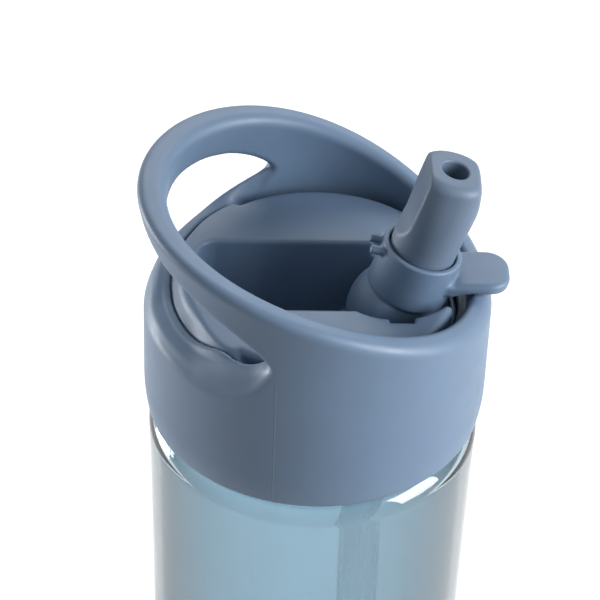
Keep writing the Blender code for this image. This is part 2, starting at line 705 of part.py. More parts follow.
def make_spout_seal(seat):
    """A silicone ring in the floor, dished to the ball it seals against."""
    bore = PASSAGE_RADIUS + FIT_GAP
    clear = BALL_RADIUS + FIT_GAP
    dish = [bore + (SEAL_RADIUS - bore) * i / 3 for i in range(4)]
    top = [(r, -math.sqrt(clear * clear - r * r)) for r in dish]
    profile = [(bore, SEAL_FOOT)] + top + [(SEAL_RADIUS, SEAL_FOOT)]
    return lathe("spout_seal", profile, seat, "seal_silicone", SMALL_STEPS)


def make_straw(lid):
    profile = [
        (STRAW_BORE, STRAW_FOOT_RISE),
        (STRAW_RADIUS, STRAW_FOOT_RISE),
        (STRAW_RADIUS, STRAW_TOP_RISE),
        (STRAW_BORE, STRAW_TOP_RISE),
    ]
    straw = lathe("straw", profile, lid, "straw_clear", SMALL_STEPS, (STRAW_X, 0))
    low = STRAW_FOOT_RISE - OVERRUN
    left = STRAW_X - STRAW_RADIUS - OVERRUN
    right = STRAW_X + STRAW_RADIUS + OVERRUN
    slope = [(left, low), (right, low), (right, low + right - left)]
    width = STRAW_RADIUS + OVERRUN
    cut(straw, prism("straw_slant", slope, -width, width, lid, "Y"))
    return straw


def make_vent_valve(lid):
    dish_top = TROUGH_FOOT_RISE - FIT_GAP
    bulb_foot = TROUGH_FLOOR_RISE + FIT_GAP
    profile = [
        (0, dish_top - VENT_DISH_THICKNESS),
        (VENT_DISH_RADIUS, dish_top - VENT_DISH_THICKNESS / 2),
        (VENT_DISH_RADIUS, dish_top),
        (VENT_STEM_RADIUS, dish_top),
        (VENT_STEM_RADIUS, bulb_foot),
        (VENT_BULB_RADIUS, bulb_foot),
        (VENT_BULB_RADIUS * 3 / 4, bulb_foot + VENT_BULB_HEIGHT * 2 / 3),
        (0, bulb_foot + VENT_BULB_HEIGHT),
    ]
    return lathe("vent_valve", profile, lid, "seal_silicone", SMALL_STEPS, (VENT_X, 0))


def tab_half_width(x):
    """Half the thumb tab's width at this distance from the spout's axis, with round corners at its tip."""
    beyond = max(0.0, x - TAB_REACH + TAB_CORNER) / TAB_CORNER
    return TAB_HALF_WIDTH - TAB_CORNER * (1 - math.sqrt(1 - beyond * beyond))


def thumb_tab(pivot):
    """A tongue that climbs a little away from the collar, with round edges."""
    root = CUP_RADIUS + CUP_WALL / 2
    straight = TAB_REACH - TAB_CORNER
    stations = [root + (straight - root) * i / 3 for i in range(4)]
    stations += [straight + TAB_CORNER * math.sin(math.radians(a)) for a in (25, 48, 68, 84)]
    rings = []
    for x in stations:
        share = (x - root) / (TAB_REACH - root)
        bulge = 4 * share * (1 - share)
        climb = TAB_ROOT_TOP + (TAB_TIP_TOP - TAB_ROOT_TOP) * share
        top = climb + TAB_BOW * bulge
        foot = climb - TAB_THICKNESS + TAB_ARCH * bulge
        half = tab_half_width(x)
        edge = TAB_EDGE_ROUND
        side = [(half - edge, top), (half, top - edge), (half, foot + edge), (half - edge, foot)]
        rings.append([(x, y, z) for y, z in side] + [(x, -y, z) for y, z in reversed(side)])
    return loft("thumb_tab", rings, pivot)


def make_spout_body(pivot):
    top_radius = COLLAR_RADIUS - COLLAR_TAPER
    lip = arc((top_radius - COLLAR_LIP_ROUND, COLLAR_TOP - COLLAR_LIP_ROUND), COLLAR_LIP_ROUND, 0, 90, 2)
    foot = [(0, 0), (COLLAR_RADIUS - COLLAR_FOOT_ROUND, COLLAR_FOOT)]
    side = [(COLLAR_RADIUS, COLLAR_FOOT + COLLAR_FOOT_ROUND), (COLLAR_RADIUS, BALL_RADIUS)]
    spout = lathe("spout_body", foot + side + lip + [(0, COLLAR_TOP)], pivot, "lid_plastic", 36)
    cap_angle = math.degrees(math.asin(HUB_HALF_WIDTH / BALL_RADIUS))
    hub_side = arc((0, 0), BALL_RADIUS, -cap_angle, cap_angle, 8)
    hub = lathe("hub", [(0, -HUB_HALF_WIDTH)] + hub_side + [(0, HUB_HALF_WIDTH)], pivot, None, 36)
    trunnions = rod("trunnions", TRUNNION_RADIUS, -TRUNNION_REACH, TRUNNION_REACH, pivot)
    hub.rotation_euler = (math.pi / 2, 0, 0)
    trunnions.rotation_euler = (math.pi / 2, 0, 0)
    fuse(spout, hub, trunnions, thumb_tab(pivot))
    for side in (-1, 1):
        peg = rod(f"peg_{side + 2}", PEG_RADIUS, CUP_RADIUS + EMBED, COLLAR_RADIUS + PEG_LENGTH, pivot, TINY_STEPS)
        peg.location = (0, side * PEG_SPACING / 2, PEG_HEIGHT)
        peg.rotation_euler = (0, -math.pi / 2, 0)
        fuse(spout, peg)
    cup = rod("mouth_cup", CUP_RADIUS, CUP_FLOOR, COLLAR_TOP + OVERRUN, pivot, 36)
    bore = rod("spout_bore", BORE_RADIUS, -BALL_RADIUS - OVERRUN, COLLAR_TOP, pivot, SMALL_STEPS)
    cut(spout, cup, bore)
    return spout


def mouth_ring(half, power, height, steps=SMALL_STEPS + 8):
    """A ring between a circle, power 2, and a square, cut straight where it passes the facet at this height."""
    away = min(1.0, max(0.0, (FACET_HEAD - height) / (FACET_HEAD - FACET_FOOT)))
    facet = FACET_REACH + FACET_RUNOUT * away * away
    ring = []
    for i in range(steps):
        a = 2 * math.pi * i / steps
        c, s = math.cos(a), math.sin(a)
        x = math.copysign(abs(c) ** (2 / power), c) * half
        y = math.copysign(abs(s) ** (2 / power), s) * half
        ring.append((max(x, -facet), y, height))
    return ring


def make_mouthpiece(pivot):
    """Round where it leaves the collar, with a flat facet on the loop's side and a soft domed top."""
    neck = COLLAR_TOP + MOUTH_NECK
    shoulder = MOUTH_TOP - MOUTH_TIP_ROUND
    rings = [
        mouth_ring(PLUG_END_RADIUS, 2, CUP_FLOOR + FIT_GAP),
        mouth_ring(PLUG_END_RADIUS, 2, neck),
    ]
    for share in (0.3, 0.55, 0.8, 1.0):
        swell = share * share * (3 - 2 * share)
        half = PLUG_END_RADIUS + (MOUTH_BELLY_HALF - PLUG_END_RADIUS) * swell
        rings.append(mouth_ring(half, 2 + 0.6 * share, neck + (MOUTH_BELLY_HEIGHT - neck) * share))
    for share in (0.5, 1.0):
        half = MOUTH_BELLY_HALF + (MOUTH_TIP_HALF - MOUTH_BELLY_HALF) * share * share
        height = MOUTH_BELLY_HEIGHT + (shoulder - MOUTH_BELLY_HEIGHT) * share
        rings.append(mouth_ring(half, 2.6, height))
    for lean in (30, 60, 90):
        inset = MOUTH_TIP_ROUND * (1 - math.cos(math.radians(lean)))
        lift = MOUTH_TIP_ROUND * math.sin(math.radians(lean))
        rings.append(mouth_ring(MOUTH_TIP_HALF - inset, 2.6, shoulder + lift))
    piece = loft("mouthpiece", rings, pivot, "soft_silicone")
    cut(piece, rod("mouth_bore", BORE_RADIUS, CUP_FLOOR - OVERRUN, MOUTH_TOP + OVERRUN, pivot))
    return piece


def main():
    for leftover in list(bpy.data.objects):
        bpy.data.objects.remove(leftover, do_unlink=True)
    lid = empty("lid_axis", location=(0, 0, CAP_Z))
    seat = empty("seal_axis", lid, (PIVOT_X, 0, PIVOT_RISE), SPOUT_LEAN)
    pivot = empty("spout_pivot", lid, (PIVOT_X, 0, PIVOT_RISE), SPOUT_LEAN)
    make_bottle_body()
    make_cap_shell(lid)
    make_lid_core(lid, seat)
    make_gasket(lid)
    make_spout_seal(seat)
    make_straw(lid)
    make_vent_valve(lid)
    make_spout_body(pivot)
    make_mouthpiece(pivot)


main()
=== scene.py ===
"""Straw water bottle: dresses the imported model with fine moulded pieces, finishes, a stage and a camera.

Lengths in the shape code are millimetres, and heights of lid pieces are over the cap's lower edge. The
moulded pieces are described as fields: functions that are negative inside the plastic, zero on its surface
and about the distance from it elsewhere. mesh_of() turns a field into an even net of quads on that surface.
"""

import math

import bmesh
import bpy
import numpy as np
from bpy.props import FloatProperty, FloatVectorProperty, IntProperty, PointerProperty
from mathutils import Matrix, Vector


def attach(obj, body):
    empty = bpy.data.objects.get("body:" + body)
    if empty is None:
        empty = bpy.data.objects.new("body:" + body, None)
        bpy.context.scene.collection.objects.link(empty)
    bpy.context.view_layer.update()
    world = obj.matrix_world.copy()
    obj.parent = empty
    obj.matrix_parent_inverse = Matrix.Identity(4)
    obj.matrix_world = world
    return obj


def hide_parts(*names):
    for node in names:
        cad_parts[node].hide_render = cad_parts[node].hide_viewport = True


bl_info = {
    "name": "Straw Water Bottle",
    "version": (1, 0, 0),
    "blender": (4, 5, 0),
    "location": "View3D > Sidebar > Bottle",
    "description": "Builds a clear water bottle with a screw lid, a carry loop and a folding spout",
    "category": "Add Mesh",
}

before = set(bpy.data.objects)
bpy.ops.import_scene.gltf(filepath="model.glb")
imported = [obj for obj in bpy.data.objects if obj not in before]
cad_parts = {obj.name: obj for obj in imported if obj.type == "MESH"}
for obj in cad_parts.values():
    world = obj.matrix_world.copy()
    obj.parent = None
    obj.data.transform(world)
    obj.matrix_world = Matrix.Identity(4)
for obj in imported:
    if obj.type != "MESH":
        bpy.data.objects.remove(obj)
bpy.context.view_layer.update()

MM = 0.001

# How far a cut runs past the surface that it opens, and the radius on edges that the closed lid hides
CUT_PAST = 3.0
HIDDEN_ROUND = 0.3

# Body of the bottle
SHOULDER_Z = 166.6
BODY_RADIUS = 37.0
WAIST_RADIUS = 36.0
WAIST_Z = 75.0
BODY_WALL = 2.0
BASE_THICKNESS = 3.2
BASE_ROUND = 6.0
SHOULDER_ROUND = 5.5
NECK_FILLET = 1.4
NECK_INNER_FILLET = 1.5
NECK_HEIGHT = 14.9
LIP_ROUND = 0.7
CAP_Z = SHOULDER_Z + 1.4

# Cap shell
CAP_RADIUS = 38.0
CAP_EDGE_INSET = 0.8
CAP_EDGE_RISE = 8.0
CAP_EDGE_ROUND = 0.5
SHELL_BORE = 35.1
BOWL_RADIUS = 33.0
RIM_LEFT_RISE = 59.2
RIM_MIDDLE_RISE = 49.4
RIM_RIGHT_RISE = 31.2
RIM_FLARE = 1.7
RIM_FLARE_DEPTH = 12.0
LEDGE_RISE = 28.0
LEDGE_SEAM = 32.1
LEDGE_FOOT_RISE = 25.6
LEDGE_BORE = 30.65
LEDGE_CUT_FOOT_RISE = 20.0
LEDGE_ROUND = 0.1
SNAP_DEPTH = 1.5
SNAP_RISES = (0.0, 0.6, 1.6, 1.9)

# Window under the carry loop, as (x, height) points from the front
WINDOW_END = (-11.2, 37.7)
WINDOW_TOP = [
    (-12.9, 40.5), (-15.8, 42.9), (-19.6, 45.2), (-23.4, 47.1), (-27.3, 49.0), (-33.0, 51.0), (-42.0, 53.2),
]
WINDOW_SILL = [(-42.0, 27.4), (-34.0, 27.4), (-27.0, 26.6), (-20.7, 27.6), (-15.9, 30.2), (-12.7, 34.0)]
WINDOW_FOOT_ROUND = 1.2

# The window widens inwards towards its right end, fully so past the second x
WINDOW_FLARE = 2.0
WINDOW_FLARE_X = (-28.0, -20.0)

# The sill's height along x: at the outer wall, at its crest in front and at the back, and at the bowl
SILL_OUTER = [(-33.0, 27.9), (-27.0, 26.7), (-22.0, 27.2), (-18.0, 29.0), (-14.5, 32.0), (-11.0, 36.5)]
SILL_FRONT = [
    (-31.0, 29.9), (-27.0, 30.0), (-24.0, 30.9), (-21.5, 32.0), (-18.0, 33.6), (-14.0, 35.4), (-10.5, 38.2),
]
SILL_BACK = [
    (-31.0, 32.6), (-28.7, 32.7), (-26.0, 33.0), (-21.6, 34.5), (-17.0, 36.0), (-12.6, 37.6), (-10.5, 38.8),
]
SILL_INNER = [
    (-33.0, 30.8), (-27.0, 31.0), (-21.5, 33.6), (-18.0, 34.2), (-14.0, 34.0), (-12.6, 34.4), (-10.0, 38.5),
]

# The sill across the wall, in shares of its thickness: it starts outside it and rolls up to the crest
SILL_OUT = 0.2
SILL_ROLL = 0.7
SILL_BEND = 1.3

# Radii round the window, and where along x, a radius or the height each gives way to the next
SILL_ROUND = 2.2
SILL_ROUND_RISES = (32.0, 41.0)
RIM_ROUND_RADII = (36.0, 34.5)
SEAM_ROUND = 0.3
INNER_EDGE_ROUND = 1.2
INNER_EDGE_X = (-20.0, -16.0)
LOOP_ROUND_RISES = (36.0, 41.0)

# Where the front's heights change to the back's, and how far a list of heights is smoothed
BACK_Y = (-6.0, 6.0)
EASE_WIDTH = 5.0
EASE_STEPS_PER_MM = 10

# Groove between the shell and the deck, and the deck's chamfer on the loop's side
GROOVE_FLOOR = [(-33.0, 30.8), (-27.0, 30.8), (-21.5, 33.4), (-18.5, 33.2), (-14.5, 28.0)]
GROOVE_ROUND = 0.8
DECK_CHAMFER = [(-27.0, 30.8), (-21.5, 33.4), (-17.5, 34.0), (-15.0, 40.0)]
BACK_LIFT = [(-26.0, 2.0), (-21.5, 0.0)]
CHAMFER_SLOPE = 1.1
CHAMFER_ROUND = 0.6
SEAM_GAP = 0.06
LEDGE_GAP = 0.1

# A height over a slanted face, times the face's tilt, is about the distance from it
GROOVE_TILT = 0.8
SILL_TILT = 0.6
CHAMFER_TILT = 0.67

# Lid core: deck on its drum, roof, skirt and plug
DECK_RADIUS = 30.5
DECK_RISE = 34.0
DECK_ROUND = 1.4
DECK_COVER = 1.2
DECK_FOOT_RISE = 31.6
DRUM_BORE = 28.3
ROOF_TOP_RISE = 19.0
ROOF_FOOT_RISE = 16.6
ROOF_INSET = 0.5
ROOF_FILLET = 0.6
SKIRT_RADIUS = 34.8
SKIRT_BORE = 33.15
SKIRT_TOP_RISE = 25.3
SKIRT_FOOT_RISE = 2.0
PLUG_RADIUS = 28.6
PLUG_BORE = 26.9
PLUG_FOOT_RISE = 11.6
PLUG_ROUND = 0.5

# Trough that the spout folds into, with a shelf on its right
TROUGH_HALF_WIDTH = 11.65
TROUGH_END_RADIUS = 27.4
TROUGH_FLOOR_RISE = 12.2
TROUGH_CORNER = 2.5
TROUGH_FLOOR_ROUND = 1.0
TROUGH_WALL = 1.1
TROUGH_WALL_ROUND = 0.6
TROUGH_WALL_FILLET = 0.4
TROUGH_FLOOR_THICKNESS = 1.8
SHELF_X = 6.0
SHELF_RISE = 14.6
SHELF_INSET = 0.5
VENT_X = -14.0
VENT_BORE = 1.4

# Room for the spout: recess round the collar, way out for the tab, cheeks, trunnion slots and bearings
RECESS_RADIUS = 14.4
RECESS_SHIFT = -1.2
RECESS_DEPTH = 4.0
RECESS_ROUND = 0.6
RECESS_BACK_X = 12.3
RECESS_BACK_ROUND = 0.4
EXIT_HALF_WIDTH = 9.7
EXIT_REACH = 32.0
CHEEK_HALF_LENGTH = 6.5
CHEEK_EXTRA = 2.0
CHEEK_REACH = 17.2
CHEEK_INSET = 1.0
SLOT_HALF_WIDTH = 2.75
SLOT_REACH = 15.5
BEARING_RADIUS = 3.3

# Screw thread. Its ridge is sunk in the wall by THREAD_SUNK and fades to THREAD_TIP of its size at the ends.
THREAD_PITCH = 4.0
THREAD_TURNS = 1.25
THREAD_DEPTH = 1.5
THREAD_ROOT_HALF = 0.95
THREAD_CREST_HALF = 0.45
THREAD_SHOULDER = 0.9
THREAD_FOOT_EASE = 0.15
THREAD_CREST_EASE = 0.2
THREAD_SUNK = 0.6
THREAD_STEPS = 160
THREAD_FADE = 0.06
THREAD_TIP = 0.12
THREAD_START_RISE = 5.6
LID_THREAD_DROP = 2.2
NECK_RADIUS = 31.2
NECK_BORE = 29.0

# Seals
GASKET_FOOT_RISE = 13.8
GASKET_TOP_RISE = 16.3
GASKET_INNER = 28.9
GASKET_OUTER = 32.85
GASKET_LIP = 0.5
GASKET_WAIST = 0.25
SEAL_BORE = 2.5
SEAL_RADIUS = 4.0
SEAL_THICKNESS = 2.7
SEAT_WALL = 1.6
FIT_GAP = 0.3

# Vent umbrella as (radius, height) points: its disc from the floor's underside, its knob from the floor
VENT_DISC = [
    (0, -0.9), (2.2, -0.85), (3.6, -0.65), (4.1, -0.4), (4.2, -0.15), (4.05, 0), (1.3, 0), (1.1, 0.2),
]
VENT_KNOB = [(1.1, FIT_GAP), (1.75, FIT_GAP), (1.9, 0.5), (1.8, 1.0), (1.45, 1.6), (0.9, 2.1), (0.4, 2.28)]
VENT_KNOB_TOP = 2.3

# Spout, in its own frame: u towards the thumb tab, v to the back, s along its axis from the hinge
PIVOT = (17.6, 24.4)
LEAN = math.radians(15)
BALL_RADIUS = 11.3
POCKET_RADIUS = 11.65
CRADLE_RADIUS = 12.75
TRUNNION_RADIUS = 3.0
TRUNNION_REACH = 15.2
TRUNNION_ROUND = 0.5
COLLAR_RADIUS = 9.15
COLLAR_TAPER = 0.3
COLLAR_FOOT = 6.4
COLLAR_FOOT_ROUND = 1.5
COLLAR_TOP = 18.5
COLLAR_ROUND = 0.45
HUB_HALF_WIDTH = 8.3
HUB_ROUND = 0.5
HUB_FILLET = 0.3
CUP_RADIUS = 7.6
CUP_FLOOR = 11.1
CUP_ROUND = 0.35
BORE_RADIUS = 3.0
BORE_ROUND = 0.4
TAB_START = 4.0
TAB_REACH = 20.3
TAB_HALF_WIDTH = 6.4
TAB_CORNER = 5.0
TAB_ROOT = 8.2
TAB_ROOT_TOP = 14.5
TAB_TIP_TOP = 17.5
TAB_BOW = 0.4
TAB_ARCH = 1.2
TAB_THICKNESS = 3.5
TAB_FILLET = 0.5
PEG_RADIUS = 1.0
PEG_ROUND = 0.45
PEG_FILLET = 0.4
PEG_START = 8.0
PEG_END = 11.4
PEG_SPACING = 4.0
PEG_HEIGHT = 16.4

# Mouthpiece, in the spout's frame
MOUTH_TOP = 40.2
MOUTH_PLUG_RADIUS = 7.3
MOUTH_FOOT = 11.4
MOUTH_FOOT_ROUND = 0.4
MOUTH_BORE_ROUND = 0.5
MOUTH_SWELL_FROM = COLLAR_TOP + 1
MOUTH_BELLY = 7.8
MOUTH_BELLY_HEIGHT = 33.0
MOUTH_TIP = 7.5
MOUTH_DOME = 2.1
MOUTH_SQUARE = 2.25
FACET_REACH = 5.75
FACET_FROM = 20.5
FACET_TO = 27.0
FACET_RUNOUT = 2.2
FACET_TAPER = 0.02
TAB_FACET_REACH = 8.4
TAB_FACET_FROM = 31.5
TAB_FACET_TAPER = 0.31
TAB_FACET_ROUND = 1.0

# Drink passage and straw
ELBOW_RISE = 4.5
ELBOW_OVERLAP = 1.1
PASSAGE_RADIUS = 2.2
PASSAGE_ROUND = 0.2
NIPPLE_RADIUS = 3.5
NIPPLE_LENGTH = 11.0
NIPPLE_ROUND = 0.4
STRAW_BOSS_FOOT = 4.0
STRAW_BOSS_WALL = 1.2
BOSS_FILLET = 0.8
BOSS_OVERLAP = 1.0
STRAW_X = 12.27
STRAW_RADIUS = 4.8
STRAW_BORE = 3.8
STRAW_TOP_RISE = 3.7
STRAW_FOOT_Z = 9.7
STRAW_END_ROUND = 0.3

# Levels that follow from these: the trough's underside, the nipple's foot, and the seal's seat from the hinge
TROUGH_UNDERSIDE = TROUGH_FLOOR_RISE - TROUGH_FLOOR_THICKNESS
NIPPLE_FOOT = STRAW_BOSS_FOOT - NIPPLE_LENGTH
SEAL_SEAT_FOOT = -(BALL_RADIUS + FIT_GAP + SEAL_THICKNESS + FIT_GAP)

# Parting line of the mould on the shell's front
PARTING_X = -9.6
PARTING_Y = -30.0
PARTING_HALF_WIDTH = 0.22
PARTING_RISES = (1.0, 34.0)
PARTING_HEIGHT = 0.06

# Mesh making
SECTION_PATH_RADIUS = 1.0
WELD_DISTANCE = 0.002

# Stage, in metres. A lamp has its name, place, width and depth, and power.
FLOOR_HALF = 1.6
FLOOR_COLOUR = (0.4, 0.4, 0.4, 1)
FLOOR_GLOW = 0.75
WHITE = (1, 1, 1, 1)
AMBIENT = 0.31
LAMP_TARGET = (0.0, 0.0, 0.19)
LAMPS = [
    ("right_soft", (0.75, -0.28, 0.46), (0.45, 0.55), 10.8),
    ("left_edge", (-0.64, 0.25, 0.13), (0.25, 0.25), 3.5),
    ("back_soft", (0.10, 0.72, 0.74), (0.8, 0.5), 3.2),
]

# Camera, its place in millimetres with its height over the cap's lower edge
CAMERA_PLACE = (-21.883, -470.310, 419.060)
CAMERA_RIGHT = (0.999481, -0.014364, 0.028823)
CAMERA_UP = (-0.012933, 0.640634, 0.767737)
CAMERA_LENS = 168.0
CAMERA_SENSOR = 36.0
CAMERA_CLIP = (0.05, 10.0)


# Fields


def rounded_union(a, b, r):
    """Both fields together, with a fillet of radius r where they meet."""
    return np.maximum(r, np.minimum(a, b)) - np.hypot(np.maximum(r - a, 0), np.maximum(r - b, 0))


def rounded_common(a, b, r):
    """What both fields share, with its edge rounded to radius r."""
    return np.minimum(-r, np.maximum(a, b)) + np.hypot(np.maximum(r + a, 0), np.maximum(r + b, 0))


def rounded_cut(a, b, r):
    """The first field without the second, with the edge that the cut leaves rounded to radius r."""
    return rounded_common(a, -b, r)


def joined(*fields):
    """All these fields together, with sharp inside corners."""
    found = fields[0]
    for field in fields[1:]:
        found = np.minimum(found, field)
    return found


def tube(x, y, z, radius, low, high, round_off=0.0):
    """A solid cylinder along z."""
    return rounded_common(np.hypot(x, y) - radius, np.maximum(low - z, z - high), round_off)


def block(x, y, z, low, high):
    """A plain box between two corners."""
    sides = [np.maximum(a - p, p - b) for p, a, b in zip((x, y, z), low, high)]
    return np.maximum(np.maximum(sides[0], sides[1]), sides[2])


def outline_field(outline, p, q):
    """Distance from a closed outline of (p, q) points, negative inside it."""
    p, q = np.broadcast_arrays(p, q)
    nearest = np.full(p.shape, 1e9)
    inside = np.zeros(p.shape, bool)
    for (p0, q0), (p1, q1) in zip(outline, outline[1:] + outline[:1]):
        dp = p1 - p0
        dq = q1 - q0
        share = np.clip(((p - p0) * dp + (q - q0) * dq) / (dp * dp + dq * dq), 0, 1)
        nearest = np.minimum(nearest, np.hypot(p - p0 - share * dp, q - q0 - share * dq))
        if q1 != q0:
            inside ^= ((q0 > q) != (q1 > q)) & (p < p0 + (q - q0) * dp / dq)
    return np.where(inside, -nearest, nearest)


def smooth_outline(points, steps):
    """A closed curve through these points, with this many pieces between each two."""
    curve = []
    count = len(points)
    for i in range(count):
        a, b, c, d = (Vector(points[(i + k) % count]) for k in (-1, 0, 1, 2))
        for k in range(steps):
            t = k / steps
            turn = (a * 2 - b * 5 + c * 4 - d) * t**2 / 2
            twist = (b * 3 - a - c * 3 + d) * t**3 / 2
            curve.append(tuple(b + (c - a) * t / 2 + turn + twist))
    return curve


def rim_height(x):
    """The cap's slanted rim, a parabola through its left, middle and right."""
    u = x / CAP_RADIUS
    slope = (RIM_RIGHT_RISE - RIM_LEFT_RISE) / 2
    bow = (RIM_RIGHT_RISE + RIM_LEFT_RISE) / 2 - RIM_MIDDLE_RISE
    return RIM_MIDDLE_RISE + slope * u + bow * u * u


def eased(points, x):
    """The polyline through these points, level beyond its ends, with its corners smoothed."""
    place, level = zip(*points)
    reach = 2 * CAP_RADIUS
    grid = np.linspace(-reach, reach, EASE_STEPS_PER_MM * int(2 * reach))
    window = np.hanning(int(EASE_WIDTH / (grid[1] - grid[0])) | 1)
    smooth = np.convolve(np.interp(grid, place, level), window / window.sum(), "same")
    return np.interp(x, grid, smooth)


def smooth_step(value):
    """0 to 1 with level ends."""
    share = np.clip(value, 0, 1)
    return share * share * (3 - 2 * share)


def changing(first, last, place, span):
    """first up to the span's start, last from its end on, and smoothly from one to the other in between."""
    start, end = span
    return first + (last - first) * smooth_step((place - start) / (end - start))


def raised(points, x, y):
    """The height that these points give, lifted on the back's side."""
    return eased(points, x) + changing(0, eased(BACK_LIFT, x), y, BACK_Y)


def sill_height(x, y, inwards):
    """The window's sill: it rolls up from the outer wall to a crest, and meets the groove's floor inside."""
    outer = eased(SILL_OUTER, x)
    crest = changing(eased(SILL_FRONT, x), eased(SILL_BACK, x), y, BACK_Y)
    roll = 1 - (1 - np.clip(inwards / SILL_ROLL, -SILL_OUT, 1)) ** SILL_BEND
    fall = smooth_step((inwards - SILL_ROLL) / (1 - SILL_ROLL))
    return outer + (crest - outer) * roll + (raised(SILL_INNER, x, y) - crest) * fall


def shell_hollow(x, y, z, edge_round):
    """The bowl inside the rim and the window under the carry loop, as one hollow."""
    r = np.hypot(x, y)
    bowl = rounded_common(r - BOWL_RADIUS, (raised(GROOVE_FLOOR, x, y) - z) * GROOVE_TILT, GROOVE_ROUND)
    inwards = (CAP_RADIUS - r) / (CAP_RADIUS - BOWL_RADIUS)
    shift = WINDOW_FLARE * np.clip(inwards, 0, 1) * np.interp(x, WINDOW_FLARE_X, (0, 1))
    outline = smooth_outline([WINDOW_END] + WINDOW_TOP + WINDOW_SILL, 3)
    ramp = (sill_height(x, y, inwards) - z) * SILL_TILT
    window = rounded_common(outline_field(outline, x - shift, z), ramp, WINDOW_FOOT_ROUND)
    inner_round = changing(SEAM_ROUND, INNER_EDGE_ROUND, x, INNER_EDGE_X)
    return -rounded_common(-bowl, -window, changing(inner_round, edge_round, z, LOOP_ROUND_RISES))


def cap_field(x, y, z, rim_round, edge_round):
    """The shell with its flared rim and its hollow, cut out below for the core's ledge and skirt."""
    r = np.hypot(x, y)
    inset = CAP_EDGE_INSET * np.clip(1 - z / CAP_EDGE_RISE, 0, 1) ** 2
    step = 0.01
    slope = (rim_height(x + step) - rim_height(x - step)) / (2 * step)
    rim = (z - rim_height(x)) / np.hypot(1, slope)
    near = np.clip(1 + (z - rim_height(x)) / RIM_FLARE_DEPTH, 0, 1)
    flare = RIM_FLARE * (1 - x / np.maximum(r, 1)) / 2 * near * near
    solid = rounded_common(rounded_common(r - CAP_RADIUS + inset - flare, rim, rim_round), -z, CAP_EDGE_ROUND)
    outer_round = changing(SILL_ROUND, edge_round, z, SILL_ROUND_RISES)
    outer_round = changing(outer_round, rim_round, r, RIM_ROUND_RADII)
    solid = rounded_cut(solid, shell_hollow(x, y, z, edge_round), outer_round)

    flange_seat = np.maximum(r - LEDGE_SEAM, LEDGE_RISE - z)
    drum_seat = np.maximum(r - LEDGE_BORE, LEDGE_CUT_FOOT_RISE - z)
    solid = rounded_cut(solid, joined(flange_seat, drum_seat), LEDGE_ROUND)
    snap_reach = np.interp(z, SNAP_RISES, (0, SNAP_DEPTH, SNAP_DEPTH, 0))
    low = np.maximum(r - SHELL_BORE + snap_reach, z - LEDGE_FOOT_RISE)
    return rounded_cut(solid, low, HIDDEN_ROUND)


def trough_field(x, y, half_width, end_radius, right, corner):
    """The trough's outline from above: straight sides, and a left end that follows the deck's edge."""
    sides = np.maximum(np.abs(y) - half_width, x - right)
    return rounded_common(sides, np.hypot(x, y) - end_radius, corner)


def spout_frame(x, y, z):
    """Lid heights and places turned into the spout's own frame."""
    du = x - PIVOT[0]
    dz = z - PIVOT[1]
    return du * math.cos(LEAN) - dz * math.sin(LEAN), y, du * math.sin(LEAN) + dz * math.cos(LEAN)


def bullet(x, y, z, radius, top):
    """A half ball at the hinge with a straight cylinder above it."""
    du = x - PIVOT[0]
    low = np.sqrt(du**2 + y**2 + np.minimum(z - PIVOT[1], 0) ** 2) - radius
    return np.maximum(low, z - top)


def drum_field(x, y, z):
    """The deck on its drum with the ledge round it, the roof, the skirt and the sealing plug."""
    r = np.hypot(x, y)
    drum = np.maximum(rounded_common(r - DECK_RADIUS, z - DECK_RISE, DECK_ROUND), ROOF_FOOT_RISE - z)
    flange = np.maximum(r - LEDGE_SEAM + SEAM_GAP, LEDGE_RISE + LEDGE_GAP - z)
    slant = CHAMFER_SLOPE * (LEDGE_SEAM - r)
    ledge_top = np.minimum(raised(GROOVE_FLOOR, x, y) + slant, DECK_RISE)
    drum = joined(drum, np.maximum(flange, (z - ledge_top) * CHAMFER_TILT))
    chamfer = (z - raised(DECK_CHAMFER, x, y) - slant) * CHAMFER_TILT
    drum = rounded_common(drum, chamfer, CHAMFER_ROUND)
    roof = np.maximum(r - SKIRT_RADIUS + ROOF_INSET, np.maximum(ROOF_FOOT_RISE - z, z - ROOF_TOP_RISE))
    skirt_wall = np.maximum(r - SKIRT_RADIUS, SKIRT_BORE - r)
    skirt = rounded_common(skirt_wall, np.maximum(SKIRT_FOOT_RISE - z, z - SKIRT_TOP_RISE), HIDDEN_ROUND)
    plug = np.maximum(r - PLUG_RADIUS, np.maximum(PLUG_FOOT_RISE - z, z - ROOF_TOP_RISE))
    plug = rounded_common(plug, PLUG_FOOT_RISE - z, PLUG_ROUND)
    solid = rounded_union(rounded_union(drum, roof, ROOF_FILLET), plug, HIDDEN_ROUND)
    hollow_radius = np.interp(z, (ROOF_FOOT_RISE, ROOF_TOP_RISE), (PLUG_BORE, DRUM_BORE))
    hollow = np.maximum(r - hollow_radius, z - DECK_FOOT_RISE)
    return rounded_union(rounded_cut(solid, hollow, HIDDEN_ROUND), skirt, ROOF_FILLET)


